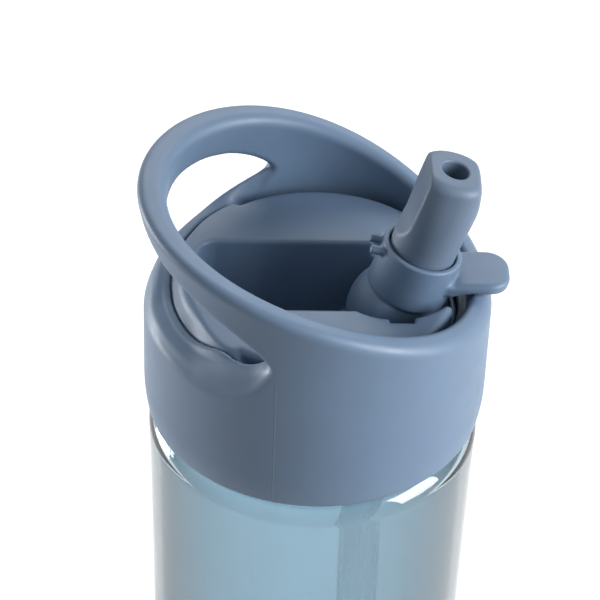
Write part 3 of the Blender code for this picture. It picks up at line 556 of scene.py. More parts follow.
def spout_walls(x, y, z):
    """Walls round the trough, the ball, the trunnions and the drink passage, and the straw's nipple."""
    under_deck = DECK_RISE - DECK_COVER
    half_width = TROUGH_HALF_WIDTH + TROUGH_WALL
    end_radius = TROUGH_END_RADIUS + TROUGH_WALL
    right = PIVOT[0] + TROUGH_WALL
    walls = trough_field(x, y, half_width, end_radius, right, TROUGH_CORNER + TROUGH_WALL)
    walls = rounded_common(walls, np.maximum(TROUGH_UNDERSIDE - z, z - under_deck), TROUGH_WALL_ROUND)
    cradle = bullet(x, y, z, CRADLE_RADIUS, under_deck)
    cheek_low = (PIVOT[0] - CHEEK_HALF_LENGTH - CHEEK_EXTRA, -CHEEK_REACH, PIVOT[1] - CHEEK_HALF_LENGTH)
    cheek_high = (PIVOT[0] + CHEEK_HALF_LENGTH, CHEEK_REACH, under_deck)
    cheeks = np.maximum(block(x, y, z, cheek_low, cheek_high), np.hypot(x, y) - DECK_RADIUS + CHEEK_INSET)
    u, v, s = spout_frame(x, y, z)
    seat_radius = SEAL_RADIUS + FIT_GAP + SEAT_WALL
    boss = tube(u, v, s, seat_radius, SEAL_SEAT_FOOT - SEAT_WALL, -BALL_RADIUS)
    boss_radius = STRAW_RADIUS + STRAW_BOSS_WALL
    boss_top = TROUGH_UNDERSIDE + BOSS_OVERLAP
    straw_boss = tube(x - STRAW_X, y, z, boss_radius, STRAW_BOSS_FOOT, boss_top, NIPPLE_ROUND)
    nipple_top = STRAW_BOSS_FOOT + BOSS_OVERLAP
    nipple = tube(x - STRAW_X, y, z, NIPPLE_RADIUS, NIPPLE_FOOT, nipple_top, NIPPLE_ROUND)
    return joined(walls, cradle, cheeks, rounded_union(boss, straw_boss, BOSS_FILLET), nipple)


def spout_hollows(x, y, z):
    """The trough, the shelf's and ball's room, the tab's way out, and the trunnions' slots and bearings."""
    above = DECK_RISE + CUT_PAST
    trough = trough_field(x, y, TROUGH_HALF_WIDTH, TROUGH_END_RADIUS, SHELF_X, TROUGH_CORNER)
    trough = rounded_common(trough, TROUGH_FLOOR_RISE - z, TROUGH_FLOOR_ROUND)
    shelf_low = (SHELF_X - CUT_PAST, -TROUGH_HALF_WIDTH, SHELF_RISE)
    shelf_high = (PIVOT[0] - SHELF_INSET, TROUGH_HALF_WIDTH, above)
    over_shelf = block(x, y, z, shelf_low, shelf_high)
    pocket = bullet(x, y, z, POCKET_RADIUS, above)
    recess_x = x - PIVOT[0] - RECESS_SHIFT
    recess = tube(recess_x, y, z, RECESS_RADIUS, DECK_RISE - RECESS_DEPTH, above, RECESS_ROUND)
    recess = rounded_common(recess, np.minimum(RECESS_BACK_X - x, y), RECESS_BACK_ROUND)
    exit_low = (PIVOT[0], -EXIT_HALF_WIDTH, LEDGE_FOOT_RISE)
    way_out = block(x, y, z, exit_low, (EXIT_REACH, EXIT_HALF_WIDTH, above))
    slot_low = (PIVOT[0] - SLOT_HALF_WIDTH, -SLOT_REACH, PIVOT[1])
    slot = block(x, y, z, slot_low, (PIVOT[0] + SLOT_HALF_WIDTH, SLOT_REACH, above))
    bearing = tube(x - PIVOT[0], z - PIVOT[1], y, BEARING_RADIUS, -SLOT_REACH, SLOT_REACH)
    return joined(trough, over_shelf, pocket, recess, way_out, slot, bearing)


def core_bores(x, y, z):
    """The seal's seat, the drink passage from it down through the nipple, and the vent."""
    u, v, s = spout_frame(x, y, z)
    seat = tube(u, v, s, SEAL_RADIUS + FIT_GAP, SEAL_SEAT_FOOT, -BALL_RADIUS + SEAL_THICKNESS)
    elbow = (PIVOT[1] - ELBOW_RISE) / math.cos(LEAN)
    slant = tube(u, v, s, PASSAGE_RADIUS, -elbow, -BALL_RADIUS)
    drop_top = ELBOW_RISE + ELBOW_OVERLAP
    drop = tube(x - STRAW_X, y, z, PASSAGE_RADIUS, NIPPLE_FOOT - CUT_PAST, drop_top)
    vent_foot = TROUGH_UNDERSIDE - CUT_PAST
    vent = tube(x - VENT_X, y, z, VENT_BORE, vent_foot, TROUGH_FLOOR_RISE + CUT_PAST)
    return joined(seat, slant, drop, vent)


def core_field(x, y, z, edge_round):
    """The lid's inner part, with the edges of its open hollows rounded."""
    solid = rounded_union(drum_field(x, y, z), spout_walls(x, y, z), TROUGH_WALL_FILLET)
    solid = rounded_cut(solid, spout_hollows(x, y, z), edge_round)
    return rounded_cut(solid, core_bores(x, y, z), PASSAGE_ROUND)


def spout_field(u, v, s, edge_round):
    """The ball with its trunnions, the collar and its cup, the thumb tab and the two pegs."""
    r = np.hypot(u, v)
    climbed = np.clip((s - COLLAR_FOOT) / (COLLAR_TOP - COLLAR_FOOT), 0, 1)
    collar = rounded_common(r - COLLAR_RADIUS + COLLAR_TAPER * climbed, s - COLLAR_TOP, COLLAR_ROUND)
    collar = rounded_common(collar, COLLAR_FOOT - s, COLLAR_FOOT_ROUND)
    ball = np.sqrt(u * u + v * v + s * s) - BALL_RADIUS
    hub = rounded_common(ball, np.abs(v) - HUB_HALF_WIDTH, HUB_ROUND)
    trunnions = tube(u, s, v, TRUNNION_RADIUS, -TRUNNION_REACH, TRUNNION_REACH, TRUNNION_ROUND)
    solid = joined(rounded_union(hub, collar, HUB_FILLET), trunnions)
    pad = rounded_common(np.abs(v) - TAB_HALF_WIDTH, u - TAB_REACH, TAB_CORNER)
    pad = np.maximum(pad, TAB_START - u)
    share = np.clip((u - TAB_ROOT) / (TAB_REACH - TAB_ROOT), 0, 1)
    bulge = 4 * share * (1 - share)
    climb = TAB_ROOT_TOP + (TAB_TIP_TOP - TAB_ROOT_TOP) * share
    top = climb + TAB_BOW * bulge
    foot = climb - TAB_THICKNESS + TAB_ARCH * bulge
    tab = rounded_common(pad, np.maximum(foot - s, s - top), edge_round)
    solid = rounded_union(solid, tab, TAB_FILLET)
    for side in (-1, 1):
        peg_v = v - side * PEG_SPACING / 2
        peg = tube(peg_v, s - PEG_HEIGHT, -u, PEG_RADIUS, PEG_START, PEG_END, PEG_ROUND)
        solid = rounded_union(solid, peg, PEG_FILLET)
    cup = tube(u, v, s, CUP_RADIUS, CUP_FLOOR, COLLAR_TOP + CUT_PAST)
    bore = tube(u, v, s, BORE_RADIUS, -BALL_RADIUS - CUT_PAST, COLLAR_TOP)
    return rounded_cut(rounded_cut(solid, cup, CUP_ROUND), bore, BORE_ROUND)


def mouth_field(u, v, s, facet_round):
    """Round at the collar, with a flat facet on the loop's side and one that slants in on the tab's side."""
    swell = np.clip((s - MOUTH_SWELL_FROM) / (MOUTH_BELLY_HEIGHT - MOUTH_SWELL_FROM), 0, 1)
    tip = np.clip((s - MOUTH_BELLY_HEIGHT) / (MOUTH_TOP - MOUTH_BELLY_HEIGHT), 0, 1)
    radius = MOUTH_PLUG_RADIUS + (MOUTH_BELLY - MOUTH_PLUG_RADIUS) * smooth_step(swell)
    radius = radius - (MOUTH_BELLY - MOUTH_TIP) * tip**2
    power = 2 + (MOUTH_SQUARE - 2) * swell
    across = (np.abs(u) ** power + np.abs(v) ** power) ** (1 / power)
    solid = rounded_common(across - radius, s - MOUTH_TOP, MOUTH_DOME)
    solid = rounded_common(solid, MOUTH_FOOT - s, MOUTH_FOOT_ROUND)
    away = np.clip((FACET_TO - s) / (FACET_TO - FACET_FROM), 0, 1)
    facet = -u - FACET_REACH - FACET_RUNOUT * away**2 + FACET_TAPER * np.maximum(s - FACET_TO, 0)
    solid = rounded_common(solid, facet, facet_round)
    slant = (u - TAB_FACET_REACH + TAB_FACET_TAPER * (s - TAB_FACET_FROM)) / math.hypot(1, TAB_FACET_TAPER)
    solid = rounded_common(solid, slant, TAB_FACET_ROUND)
    bore = tube(u, v, s, BORE_RADIUS, MOUTH_FOOT - CUT_PAST, MOUTH_TOP + CUT_PAST)
    return rounded_cut(solid, bore, MOUTH_BORE_ROUND)


# Meshes


def without_diagonals(value):
    """Fills a corner of each face whose inside corners meet only diagonally: the net is then one skin."""
    filled = -0.01
    full = [slice(None)] * 3
    found = True
    while found:
        found = False
        for a, b in ((0, 1), (0, 2), (1, 2)):
            corners = {}
            for i in (0, 1):
                for j in (0, 1):
                    part = list(full)
                    part[a] = slice(i, i - 1 or None)
                    part[b] = slice(j, j - 1 or None)
                    corners[i, j] = value[tuple(part)]
            for i in (0, 1):
                same = (corners[i, 0] < 0) & (corners[1 - i, 1] < 0)
                crossed = same & (corners[i, 1] >= 0) & (corners[1 - i, 0] >= 0)
                if crossed.any():
                    corners[i, 1][crossed] = filled
                    found = True
    return value


def surface_net(field, low, high, cell):
    """Points and outward quads of the surface where the field is zero."""
    margin = 1.5
    start = np.array(low, float) - margin * cell
    counts = [int(math.ceil((b - a) / cell + 2 * margin)) + 1 for a, b in zip(low, high)]
    axes = [start[k] + cell * np.arange(counts[k]) for k in range(3)]
    value = without_diagonals(field(axes[0][:, None, None], axes[1][None, :, None], axes[2][None, None, :]))
    inside = value < 0
    cells = tuple(n - 1 for n in counts)
    quads = []
    crossings = []
    owners = []
    for a in range(3):
        u = (a + 1) % 3
        v = (a + 2) % 3
        changes = np.diff(inside, axis=a)
        edge = np.argwhere(changes)
        far = edge.copy()
        far[:, a] += 1
        value_near = value[tuple(edge.T)]
        value_far = value[tuple(far.T)]
        place = edge.astype(float)
        place[:, a] += value_near / (value_near - value_far)
        corners = []
        for back_u, back_v in ((0, 0), (1, 0), (1, 1), (0, 1)):
            cell_index = edge.copy()
            cell_index[:, u] -= back_u
            cell_index[:, v] -= back_v
            corners.append(np.ravel_multi_index(cell_index.T, cells))
            owners.append(corners[-1])
            crossings.append(place)
        ring = np.stack(corners, 1)
        quads.append(np.where((value_near < 0)[:, None], ring, ring[:, ::-1]))
    owners = np.concatenate(owners)
    crossings = np.concatenate(crossings)
    used, index = np.unique(owners, return_inverse=True)
    shares = np.bincount(index)
    points = np.stack([np.bincount(index, crossings[:, k]) / shares for k in range(3)], 1)
    faces = np.searchsorted(used, np.concatenate(quads))
    return start + points * cell, faces


def pull_to_surface(field, points, reach):
    """Moves each point along the field's slope onto its zero surface, by no more than reach."""
    step = 0.02
    least_slope = 0.2
    here = field(*points.T)
    slope = np.stack([(field(*(points + step * np.eye(3)[k]).T) - here) / step for k in range(3)], 1)
    move = slope * (here / np.maximum((slope**2).sum(1), least_slope))[:, None]
    size = np.linalg.norm(move, axis=1)
    move *= (reach / np.maximum(size, reach))[:, None]
    return points - move


def relaxed(points, faces):
    """Each point moved half way to the mean of its neighbours."""
    total = np.zeros_like(points)
    count = np.zeros(len(points))
    for k in range(4):
        here = faces[:, k]
        for other in (faces[:, (k + 1) % 4], faces[:, k - 1]):
            count += np.bincount(here, minlength=len(points))
            for c in range(3):
                total[:, c] += np.bincount(here, points[other, c], len(points))
    return (points + total / count[:, None]) / 2


def mesh_of(name, field, low, high, cell, place):
    """A mesh object of the field's surface, moved by the matrix place from millimetres to the frame."""
    points, faces = surface_net(field, low, high, cell)
    for _ in range(2):
        points = pull_to_surface(field, points, cell / 2)
        points = pull_to_surface(field, relaxed(points, faces), cell / 2)
    points = pull_to_surface(field, points, cell / 4)
    data = bpy.data.meshes.new(name)
    data.from_pydata(points, [], faces)
    data.transform(place)
    data.shade_smooth()
    made = bpy.data.objects.new(name, data)
    bpy.context.scene.collection.objects.link(made)
    return made


LID_PLACE = Matrix.Translation((0, 0, CAP_Z * MM)) @ Matrix.Scale(MM, 4)
HINGE_PLACE = Matrix.Translation((PIVOT[0] * MM, 0, (CAP_Z + PIVOT[1]) * MM)) @ Matrix.Rotation(LEAN, 4, "Y")
SPOUT_PLACE = HINGE_PLACE @ Matrix.Scale(MM, 4)


def arc(centre, radius, start, end, steps):
    """Points on an arc, angles in degrees, both ends included."""
    turns = [math.radians(start + (end - start) * i / steps) for i in range(steps + 1)]
    return [(centre[0] + radius * math.cos(a), centre[1] + radius * math.sin(a)) for a in turns]


# Geometry Nodes


def section_object(name, points, closed=True):
    """An outline of (across, up) points as edges, for a node tree to sweep."""
    data = bpy.data.meshes.new(name)
    edges = [(i - 1, i) for i in range(1, len(points))]
    if closed:
        edges.append((len(points) - 1, 0))
    data.from_pydata([(a * MM, b * MM, 0) for a, b in points], edges, [])
    made = bpy.data.objects.new(name, data)
    bpy.context.scene.collection.objects.link(made)
    return made


def add_sockets(tree, sockets):
    """A modifier tree's geometry in and out, and its named inputs."""
    tree.is_modifier = True
    tree.interface.new_socket("Geometry", in_out="INPUT", socket_type="NodeSocketGeometry")
    for name, kind in sockets:
        tree.interface.new_socket(name, in_out="INPUT", socket_type=kind)
    tree.interface.new_socket("Geometry", in_out="OUTPUT", socket_type="NodeSocketGeometry")


def finish_tree(tree, shape, source):
    """Ends a tree in realized geometry with its material, smoothly shaded."""
    smooth = tree.nodes.new("GeometryNodeSetShadeSmooth")
    real = tree.nodes.new("GeometryNodeRealizeInstances")
    paint = tree.nodes.new("GeometryNodeSetMaterial")
    out = tree.nodes.new("NodeGroupOutput")
    tree.links.new(shape, smooth.inputs["Geometry"])
    tree.links.new(smooth.outputs["Geometry"], real.inputs["Geometry"])
    tree.links.new(real.outputs["Geometry"], paint.inputs["Geometry"])
    tree.links.new(source.outputs["Material"], paint.inputs["Material"])
    tree.links.new(paint.outputs["Geometry"], out.inputs["Geometry"])


def turned_tree():
    """Sweeps a section round Z. Its first axis is the distance past the path, and its second points down."""
    found = bpy.data.node_groups.get("Turned piece")
    if found:
        return found
    tree = bpy.data.node_groups.new("Turned piece", "GeometryNodeTree")
    add_sockets(
        tree,
        [
            ("Steps", "NodeSocketInt"),
            ("Path Radius", "NodeSocketFloat"),
            ("Material", "NodeSocketMaterial"),
        ],
    )
    source = tree.nodes.new("NodeGroupInput")
    section = tree.nodes.new("GeometryNodeMeshToCurve")
    path = tree.nodes.new("GeometryNodeCurvePrimitiveCircle")
    upright = tree.nodes.new("GeometryNodeSetCurveNormal")
    upright.mode = "Z_UP"
    sweep = tree.nodes.new("GeometryNodeCurveToMesh")
    weld = tree.nodes.new("GeometryNodeMergeByDistance")
    weld.inputs["Distance"].default_value = WELD_DISTANCE * MM
    tree.links.new(source.outputs["Geometry"], section.inputs["Mesh"])
    tree.links.new(source.outputs["Steps"], path.inputs["Resolution"])
    tree.links.new(source.outputs["Path Radius"], path.inputs["Radius"])
    tree.links.new(path.outputs["Curve"], upright.inputs["Curve"])
    tree.links.new(upright.outputs["Curve"], sweep.inputs["Curve"])
    tree.links.new(section.outputs["Curve"], sweep.inputs["Profile Curve"])
    tree.links.new(sweep.outputs["Mesh"], weld.inputs["Geometry"])
    finish_tree(tree, weld.outputs["Geometry"], source)
    return tree


def thread_tree():
    """Sweeps a section up a spiral, fading out at both ends."""
    found = bpy.data.node_groups.get("Screw thread")
    if found:
        return found
    tree = bpy.data.node_groups.new("Screw thread", "GeometryNodeTree")
    add_sockets(
        tree,
        [
            ("Turns", "NodeSocketFloat"),
            ("Pitch", "NodeSocketFloat"),
            ("Radius", "NodeSocketFloat"),
            ("Steps", "NodeSocketInt"),
            ("Fade", "NodeSocketFloat"),
            ("Material", "NodeSocketMaterial"),
        ],
    )
    source = tree.nodes.new("NodeGroupInput")
    section = tree.nodes.new("GeometryNodeMeshToCurve")
    rise = tree.nodes.new("ShaderNodeMath")
    rise.operation = "MULTIPLY"
    path = tree.nodes.new("GeometryNodeCurveSpiral")
    path.inputs["Reverse"].default_value = True
    upright = tree.nodes.new("GeometryNodeSetCurveNormal")
    upright.mode = "Z_UP"
    along = tree.nodes.new("GeometryNodeSplineParameter")
    mirrored = tree.nodes.new("ShaderNodeMath")
    mirrored.operation = "PINGPONG"
    mirrored.inputs[1].default_value = 0.5
    growth = tree.nodes.new("ShaderNodeMapRange")
    growth.interpolation_type = "SMOOTHSTEP"
    growth.inputs["To Min"].default_value = THREAD_TIP
    sweep = tree.nodes.new("GeometryNodeCurveToMesh")
    sweep.inputs["Fill Caps"].default_value = True
    tree.links.new(source.outputs["Geometry"], section.inputs["Mesh"])
    tree.links.new(source.outputs["Turns"], rise.inputs[0])
    tree.links.new(source.outputs["Pitch"], rise.inputs[1])
    tree.links.new(rise.outputs[0], path.inputs["Height"])
    tree.links.new(source.outputs["Turns"], path.inputs["Rotations"])
    tree.links.new(source.outputs["Radius"], path.inputs["Start Radius"])
    tree.links.new(source.outputs["Radius"], path.inputs["End Radius"])
    tree.links.new(source.outputs["Steps"], path.inputs["Resolution"])
    tree.links.new(path.outputs["Curve"], upright.inputs["Curve"])
    tree.links.new(upright.outputs["Curve"], sweep.inputs["Curve"])
    tree.links.new(along.outputs["Factor"], mirrored.inputs[0])
    tree.links.new(mirrored.outputs[0], growth.inputs["Value"])
    tree.links.new(source.outputs["Fade"], growth.inputs["From Max"])
    tree.links.new(growth.outputs["Result"], sweep.inputs["Scale"])
    tree.links.new(section.outputs["Curve"], sweep.inputs["Profile Curve"])
    finish_tree(tree, sweep.outputs["Mesh"], source)
    return tree


def applied(made, tree, values, shift=(0, 0, 0)):
    """Runs the tree on the object with these inputs, and leaves its result as a plain mesh moved by shift."""
    modifier = made.modifiers.new("shape", "NODES")
    modifier.node_group = tree
    for item in tree.interface.items_tree:
        if item.in_out == "INPUT" and item.name in values:
            modifier[item.identifier] = values[item.name]
    shaped = made.evaluated_get(bpy.context.evaluated_depsgraph_get())
    result = bpy.data.meshes.new_from_object(shaped)
    made.modifiers.remove(modifier)
    result.name = made.name
    result.transform(Matrix.Translation(Vector(shift) * MM))
    made.data = result
    work = bmesh.new()
    work.from_mesh(result)
    if work.calc_volume(signed=True) < 0:
        bmesh.ops.reverse_faces(work, faces=work.faces)
    work.to_mesh(result)
    work.free()
    return made


def turned(name, profile, finish, steps, centre=(0, 0)):
    """A solid turned about Z through centre. Its outline is closed, or starts and ends on the axis."""
    points = [(radius - SECTION_PATH_RADIUS, -height) for radius, height in profile]
    made = section_object(name, points, closed=profile[0][0] > 0)
    values = {"Steps": steps, "Path Radius": SECTION_PATH_RADIUS * MM, "Material": finish}
    return applied(made, turned_tree(), values, (centre[0], centre[1], 0))


def thread(name, radius, depth, middle, finish):
    """One helical ridge on a wall of this radius, standing out by depth, or inwards where it is negative."""
    root = -math.copysign(THREAD_SUNK, depth)
    shoulder = depth * THREAD_SHOULDER
    foot_half = THREAD_ROOT_HALF - THREAD_FOOT_EASE
    flat_half = THREAD_CREST_HALF - THREAD_CREST_EASE
    section = [
        (root, -THREAD_ROOT_HALF),
        (0, -foot_half),
        (shoulder, -THREAD_CREST_HALF),
        (depth, -flat_half),
        (depth, flat_half),
        (shoulder, THREAD_CREST_HALF),
        (0, foot_half),
        (root, THREAD_ROOT_HALF),
    ]
    made = section_object(name, section)
    values = {
        "Turns": THREAD_TURNS,
        "Pitch": THREAD_PITCH * MM,
        "Radius": radius * MM,
        "Steps": THREAD_STEPS,
        "Fade": THREAD_FADE,
        "Material": finish,
    }
    return applied(made, thread_tree(), values, (0, 0, middle))


# Materials


def new_group(name, inputs, outputs):
    """A shader group with named float, colour and vector sockets, and its input and output nodes."""
    tree = bpy.data.node_groups.new(name, "ShaderNodeTree")
    for label, kind, default in inputs:
        socket = tree.interface.new_socket(label, in_out="INPUT", socket_type=kind)
        socket.default_value = default
    for label, kind in outputs:
        tree.interface.new_socket(label, in_out="OUTPUT", socket_type=kind)
    return tree, tree.nodes.new("NodeGroupInput"), tree.nodes.new("NodeGroupOutput")


def noise(tree, place, scale, detail=2.0, roughness=0.5):
    """A noise pattern on the linked place, scale in repeats per metre."""
    made = tree.nodes.new("ShaderNodeTexNoise")
    made.inputs["Detail"].default_value = detail
    made.inputs["Roughness"].default_value = roughness
    if isinstance(scale, (int, float)):
        made.inputs["Scale"].default_value = scale
    else:
        tree.links.new(scale, made.inputs["Scale"])
    tree.links.new(place, made.inputs["Vector"])
    return made.outputs["Fac"]


def spread(tree, value, low, high, to_low, to_high):
    """value stretched from low..high to to_low..to_high, held at both ends."""
    made = tree.nodes.new("ShaderNodeMapRange")
    for name, number in (("From Min", low), ("From Max", high), ("To Min", to_low), ("To Max", to_high)):
        if isinstance(number, (int, float)):
            made.inputs[name].default_value = number
        else:
            tree.links.new(number, made.inputs[name])
    tree.links.new(value, made.inputs["Value"])
    return made.outputs["Result"]


def math_node(tree, operation, first, second=0.0):
    """One math node on two numbers or links."""
    made = tree.nodes.new("ShaderNodeMath")
    made.operation = operation
    for socket, value in zip(made.inputs, (first, second)):
        if isinstance(value, (int, float)):
            socket.default_value = value
        else:
            tree.links.new(value, socket)
    return made.outputs[0]


def mixed(tree, factor, first, second):
    """A colour between two colours or links, by factor."""
    made = tree.nodes.new("ShaderNodeMix")
    made.data_type = "RGBA"
    tree.links.new(factor, made.inputs["Factor"])
    for socket, value in ((made.inputs[6], first), (made.inputs[7], second)):
        if isinstance(value, (tuple, list)):
            socket.default_value = value
        else:
            tree.links.new(value, socket)
    return made.outputs[2]


def toned(colour, factor, lift=0.0):
    """The colour times factor, plus lift, held under white."""
    return tuple(min(1.0, c * factor + lift) for c in colour[:3]) + (1,)


def grain_group():
    """Moulded surface: fine texture height, a slow colour mottle and an uneven gloss."""
    found = bpy.data.node_groups.get("Moulded grain")
    if found:
        return found
    tree, source, out = new_group(
        "Moulded grain",
        [
            ("Vector", "NodeSocketVector", (0, 0, 0)),
            ("Color", "NodeSocketColor", (0.2, 0.2, 0.2, 1)),
            ("Grain Scale", "NodeSocketFloat", 2600),
            ("Mottle", "NodeSocketFloat", 0.08),
            ("Roughness", "NodeSocketFloat", 0.5),
        ],
        [("Color", "NodeSocketColor"), ("Roughness", "NodeSocketFloat"), ("Height", "NodeSocketFloat")],
    )
    place = source.outputs["Vector"]
    fine = noise(tree, place, source.outputs["Grain Scale"], 3.0, 0.6)
    slow = noise(tree, place, 45.0, 2.0)
    flow = noise(tree, place, 160.0, 3.0)
    slow_part = math_node(tree, "MULTIPLY", slow, 0.7)
    flow_part = math_node(tree, "MULTIPLY", flow, 0.3)
    swing = spread(tree, math_node(tree, "ADD", slow_part, flow_part), 0.35, 0.65, -1.0, 1.0)
    level = math_node(tree, "ADD", 1.0, math_node(tree, "MULTIPLY", swing, source.outputs["Mottle"]))
    tinted = tree.nodes.new("ShaderNodeVectorMath")
    tinted.operation = "SCALE"
    tree.links.new(source.outputs["Color"], tinted.inputs[0])
    tree.links.new(level, tinted.inputs["Scale"])
    tree.links.new(tinted.outputs[0], out.inputs["Color"])
    gloss = spread(tree, flow, 0.3, 0.7, -0.05, 0.05)
    tree.links.new(math_node(tree, "ADD", source.outputs["Roughness"], gloss), out.inputs["Roughness"])
    tree.links.new(fine, out.inputs["Height"])
    return tree


def scuff_group():
    """Sparse short scratches and specks, as a mask."""
    found = bpy.data.node_groups.get("Light scuffs")
    if found:
        return found
    tree, source, out = new_group(
        "Light scuffs",
        [("Vector", "NodeSocketVector", (0, 0, 0)), ("Amount", "NodeSocketFloat", 0.3)],
        [("Mask", "NodeSocketFloat")],
    )
    stretched = tree.nodes.new("ShaderNodeMapping")
    stretched.inputs["Rotation"].default_value = (0.3, 0.5, 0.8)
    stretched.inputs["Scale"].default_value = (60, 900, 220)
    tree.links.new(source.outputs["Vector"], stretched.inputs["Vector"])
    lines = spread(tree, noise(tree, stretched.outputs["Vector"], 1.0, 2.0), 0.70, 0.78, 0.0, 1.0)
    where = spread(tree, noise(tree, source.outputs["Vector"], 70.0, 2.0), 0.52, 0.68, 0.0, 1.0)
    specks = spread(tree, noise(tree, source.outputs["Vector"], 1500.0, 1.0), 0.76, 0.82, 0.0, 1.0)
    scratches = math_node(tree, "MULTIPLY", lines, where)
    marks = math_node(tree, "ADD", scratches, math_node(tree, "MULTIPLY", specks, 0.5))
    tree.links.new(math_node(tree, "MULTIPLY", marks, source.outputs["Amount"]), out.inputs["Mask"])
    return tree


def parting_group():
    """A mould's parting line: a mask that is 1 where x is near Place, on the side that faces -Y."""
    found = bpy.data.node_groups.get("Parting line")
    if found:
        return found
    tree, source, out = new_group(
        "Parting line",
        [
            ("Vector", "NodeSocketVector", (0, 0, 0)),
            ("Place", "NodeSocketFloat", 0.0),
            ("Half Width", "NodeSocketFloat", PARTING_HALF_WIDTH * MM),
            ("Low", "NodeSocketFloat", 0.0),
            ("High", "NodeSocketFloat", 1.0),
        ],
        [("Mask", "NodeSocketFloat")],
    )
    apart = tree.nodes.new("ShaderNodeSeparateXYZ")
    tree.links.new(source.outputs["Vector"], apart.inputs[0])
    aside = math_node(tree, "SUBTRACT", apart.outputs["X"], source.outputs["Place"])
    off = math_node(tree, "ABSOLUTE", aside)
    line = spread(tree, off, 0.0, source.outputs["Half Width"], 1.0, 0.0)
    front = math_node(tree, "LESS_THAN", apart.outputs["Y"], PARTING_Y * MM)
    over = math_node(tree, "GREATER_THAN", apart.outputs["Z"], source.outputs["Low"])
    under = math_node(tree, "LESS_THAN", apart.outputs["Z"], source.outputs["High"])
    kept = math_node(tree, "MULTIPLY", math_node(tree, "MULTIPLY", front, over), under)
    tree.links.new(math_node(tree, "MULTIPLY", line, kept), out.inputs["Mask"])
    return tree


def placed(tree, group, place, **values):
    """A group node in the material with its own values."""
    made = tree.nodes.new("ShaderNodeGroup")
    made.node_tree = group
    tree.links.new(place, made.inputs["Vector"])
    for name, value in values.items():
        made.inputs[name.replace("_", " ")].default_value = value
    return made


def bump(tree, height, distance, below=None):
    """A normal with this height pattern on it, over the normal below where there is one."""
    made = tree.nodes.new("ShaderNodeBump")
    made.inputs["Strength"].default_value = 1.0
    made.inputs["Distance"].default_value = distance
    tree.links.new(height, made.inputs["Height"])
    if below:
        tree.links.new(below, made.inputs["Normal"])
    return made.outputs["Normal"]


def blank_material(name):
    """A new material with its tree, its shader and the place that its patterns read."""
    made = bpy.data.materials.new(name)
    made.use_nodes = True
    tree = made.node_tree
    shader = tree.nodes["Principled BSDF"]
    place = tree.nodes.new("ShaderNodeTexCoord").outputs["Object"]
    return made, tree, shader, place


def moulded_material(name, colour, roughness, grain, mottle, scuffs, parting=False):
    """Matte moulded plastic or silicone."""
    made, tree, shader, place = blank_material(name)
    skin = placed(
        tree,
        grain_group(),
        place,
        Color=colour,
        Grain_Scale=grain,
        Mottle=mottle,
        Roughness=roughness,
    )
    marks = placed(tree, scuff_group(), place, Amount=scuffs)
    pale = toned(colour, 1.6, 0.03)
    skin_colour = mixed(tree, marks.outputs["Mask"], skin.outputs["Color"], pale)
    tree.links.new(skin_colour, shader.inputs["Base Color"])
    tree.links.new(skin.outputs["Roughness"], shader.inputs["Roughness"])
    normal = bump(tree, skin.outputs["Height"], 0.018 * MM)
    if parting:
        line = placed(
            tree,
            parting_group(),
            place,
            Place=PARTING_X * MM,
            Half_Width=PARTING_HALF_WIDTH * MM,
            Low=(CAP_Z + PARTING_RISES[0]) * MM,
            High=(CAP_Z + PARTING_RISES[1]) * MM,
        )
        normal = bump(tree, line.outputs["Mask"], PARTING_HEIGHT * MM, normal)
    tree.links.new(normal, shader.inputs["Normal"])
    shader.inputs["IOR"].default_value = 1.46
    return made


def clear_material(name, colour, roughness, ripple, edge):
    """Clear plastic with a slightly rippled surface, with painted shade: darkened by edge where it is seen
    edge on, standing in for light crossing more of the tinted wall there.
    """
    made, tree, shader, place = blank_material(name)
    shader.inputs["Transmission Weight"].default_value = 1.0
    shader.inputs["IOR"].default_value = 1.50
    slow = noise(tree, place, 30.0, 2.0)
    # Painted shade: the colour turns towards the dark edge tone where the wall is seen edge on, standing in
    # for light crossing more plastic there
    grazing = tree.nodes.new("ShaderNodeLayerWeight")
    grazing.inputs["Blend"].default_value = 0.5
    edge_on_shade = spread(tree, grazing.outputs["Facing"], 0.3, 0.85, 0.0, 1.0)
    face_colour = mixed(tree, slow, colour, toned(colour, 0.96))
    tree.links.new(mixed(tree, edge_on_shade, face_colour, toned(colour, edge)), shader.inputs["Base Color"])
    flow = noise(tree, place, 220.0, 3.0)
    tree.links.new(spread(tree, flow, 0.3, 0.7, roughness, roughness * 2), shader.inputs["Roughness"])
    tree.links.new(bump(tree, slow, ripple), shader.inputs["Normal"])
    return made


def straw_material(name, colour):
    """Milky extruded plastic with fine lines along it."""
    made, tree, shader, place = blank_material(name)
    stretched = tree.nodes.new("ShaderNodeMapping")
    stretched.inputs["Scale"].default_value = (900, 900, 12)
    tree.links.new(place, stretched.inputs["Vector"])
    lines = noise(tree, stretched.outputs["Vector"], 1.0, 2.0)
    tree.links.new(mixed(tree, lines, colour, toned(colour, 0.93)), shader.inputs["Base Color"])
    tree.links.new(spread(tree, lines, 0.3, 0.7, 0.22, 0.34), shader.inputs["Roughness"])
    tree.links.new(bump(tree, lines, 0.02 * MM), shader.inputs["Normal"])
    shader.inputs["Transmission Weight"].default_value = 0.97
    shader.inputs["IOR"].default_value = 1.25
    return made


def piece_done(made, body, slot, finish, *nodes):
    """Gives a finished piece its material and its CAD body, and hides the CAD nodes that it stands for."""
    if not made.data.materials:
        made.data.materials.append(finish)
    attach(made, body)
    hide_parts(*nodes)


# Settings


